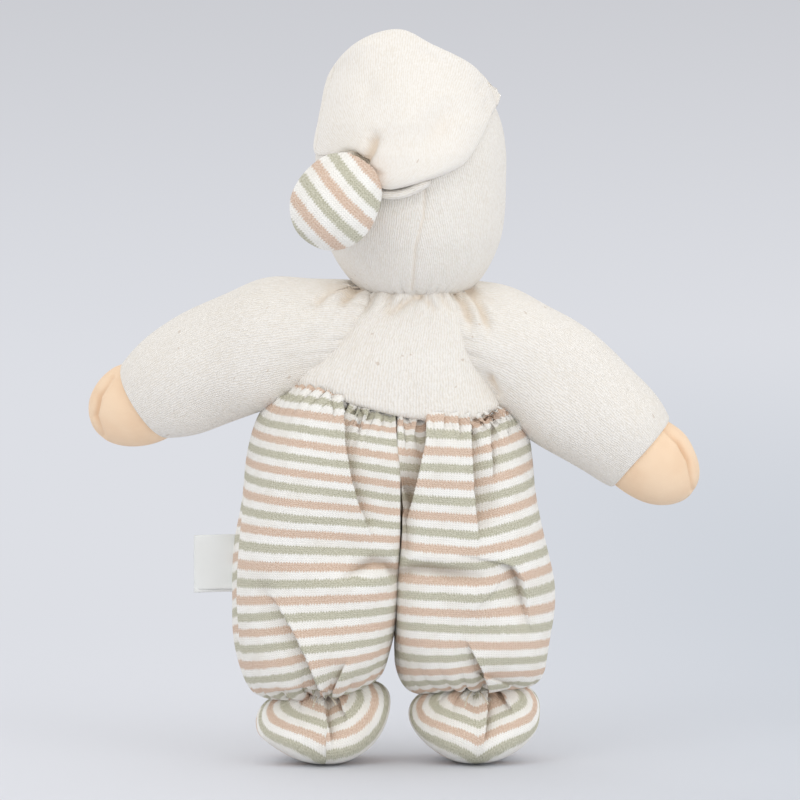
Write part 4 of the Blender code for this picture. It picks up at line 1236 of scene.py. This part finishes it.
points = np.array([middle + axis * reach + ring * radius for reach, radius in rows])
run = (points - middle) @ BOBBLE_RUN
cloth = np.zeros((BOBBLE_ROWS, BOBBLE_COLUMNS + 1, 3))
cloth[:, :-1, 0] = run
cloth[:, :-1, 1] = (points - middle) @ BOBBLE_STEP * 0.855 - 0.0008 + 4 * run ** 2
cloth[:, -1] = cloth[:, 0]
along = np.cumsum(np.full(points.shape[:2], 0.0005), axis=0)
points = gathers(points, along, 0.005, 0.0014, 14, 91)
bobble = sew("bobble_jersey", points, cloth, striped, close_start=True, close_end=True)
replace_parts(bobble, "bobble_cover", "bobble_stuffing")
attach(bobble, "bobble")

# Threads.
# Cream cotton thread is wound round each ankle and round the bobble's neck, and knotted at the back
# with short ends.
cotton = Finish("cotton_thread", 0.8, 0.1)
around, along, _ = cotton.cloth()
twist = (along / 0.0011 + around / 0.0016).wave()
cotton.colour(cotton.mix(twist * 0.5 + 0.5, level(206, 190, 164), level(246, 240, 226)))
cotton.bump(twist, 0.00015, 0.8)


def thread_piece(name, path, thickness, body):
    """A length of thread along a path."""
    points = tube_along(path, thickness / 2, 8)
    piece = sew(name, points, lay_cloth(points, 0.003, evenly(8)), cotton, close_start=True, close_end=True)
    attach(piece, body)
    return piece


def winding(middle, radius, turns, pitch, tilt=(0, 0)):
    """The path of some turns of thread round a neck. It starts and ends at the back."""
    angles = math.pi / 2 + np.linspace(0.02, 2 * math.pi * turns, 60 * turns)
    x, y = radius * np.cos(angles), radius * np.sin(angles)
    z = np.linspace(-0.5, 0.5, len(angles)) * pitch * turns + tilt[0] * x + tilt[1] * y
    return np.stack((x, y, z), axis=1) + np.array(middle)


ANKLE_PLACES = {"left": 0.0315, "right": -0.0345}
ANKLE_TIE_HEIGHT = 0.0328
THREAD_ENDS = {
    "long": ((0, 0.0004, 0.0325), (0.003, 0.006, 0.0312), (0.0045, 0.0115, 0.0295), (0.0055, 0.0155, 0.0268)),
    "short": ((0, 0.0004, 0.0325), (-0.002, 0.007, 0.0314), (-0.003, 0.0125, 0.030), (-0.0045, 0.0165, 0.028)),
}
for side_name, x in ANKLE_PLACES.items():
    body = "foot_" + side_name
    path = winding((x, TRUNK_MIDDLE, ANKLE_TIE_HEIGHT), 0.0072, 3, 0.0010)
    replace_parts(thread_piece("ankle_thread_" + side_name, path, 0.0009, body), "ankle_tie_" + side_name)
    for end_name, places in THREAD_ENDS.items():
        path = curve_through(places, 30) + np.array((x, 0, 0))
        thread_piece("ankle_thread_" + end_name + "_end_" + side_name, path, 0.0007, body)

path = winding(BOBBLE_TIE, 0.0036, 3, 0.0009, (0.6, -0.5))
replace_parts(thread_piece("bobble_thread", path, 0.0008, "bobble"), "bobble_tie")

# Care label.
# Two leaves of soft white woven tape in the side seam of the left trouser leg, left blank.
LABEL_SEAM = (0.0700, -0.0076)
LABEL_WIDTH = 0.0185
LABEL_HALF_THICKNESS = 0.0001
tape = Finish("woven_tape", 0.7, 0.1)
around, along, _ = tape.cloth()
weave = (around / 0.00035).wave() * 0.5 + (along / 0.0003).wave() * 0.5
tape.colour(tape.mix(weave * 0.5 + 0.5, level(232, 234, 232), level(247, 248, 246)))
tape.bump(weave, 0.00006, 0.7)
for name, node, rise, low, high, bend in (
    ("label_back_leaf", "care_label_back", 0.0006, 0.0762, 0.1003, 0.0016),
    ("label_front_leaf", "care_label_front", -0.0004, 0.0750, 0.0985, -0.0008),
):
    across = np.linspace(0, 1, 24)
    rows = []
    for share in np.linspace(0, 1, 32):
        x = LABEL_SEAM[0] + LABEL_WIDTH * across
        curl = bend * across ** 2 * math.cos(2.2 * share) + 0.0004 * np.sin(5 * across + 3 * share)
        y = LABEL_SEAM[1] + rise + curl
        z = high + (low - high) * share - 0.0004 * across
        outer = np.stack((x, y + LABEL_HALF_THICKNESS, z), axis=1)
        inner = outer - np.array((0, 2 * LABEL_HALF_THICKNESS, 0))
        rows.append(np.vstack((outer, inner[::-1])))
    points = np.array(rows)
    leaf = sew(name, points, lay_cloth(points, 0.037, evenly(48)), tape, close_start=True, close_end=True)
    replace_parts(leaf, node)
    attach(leaf, "label")
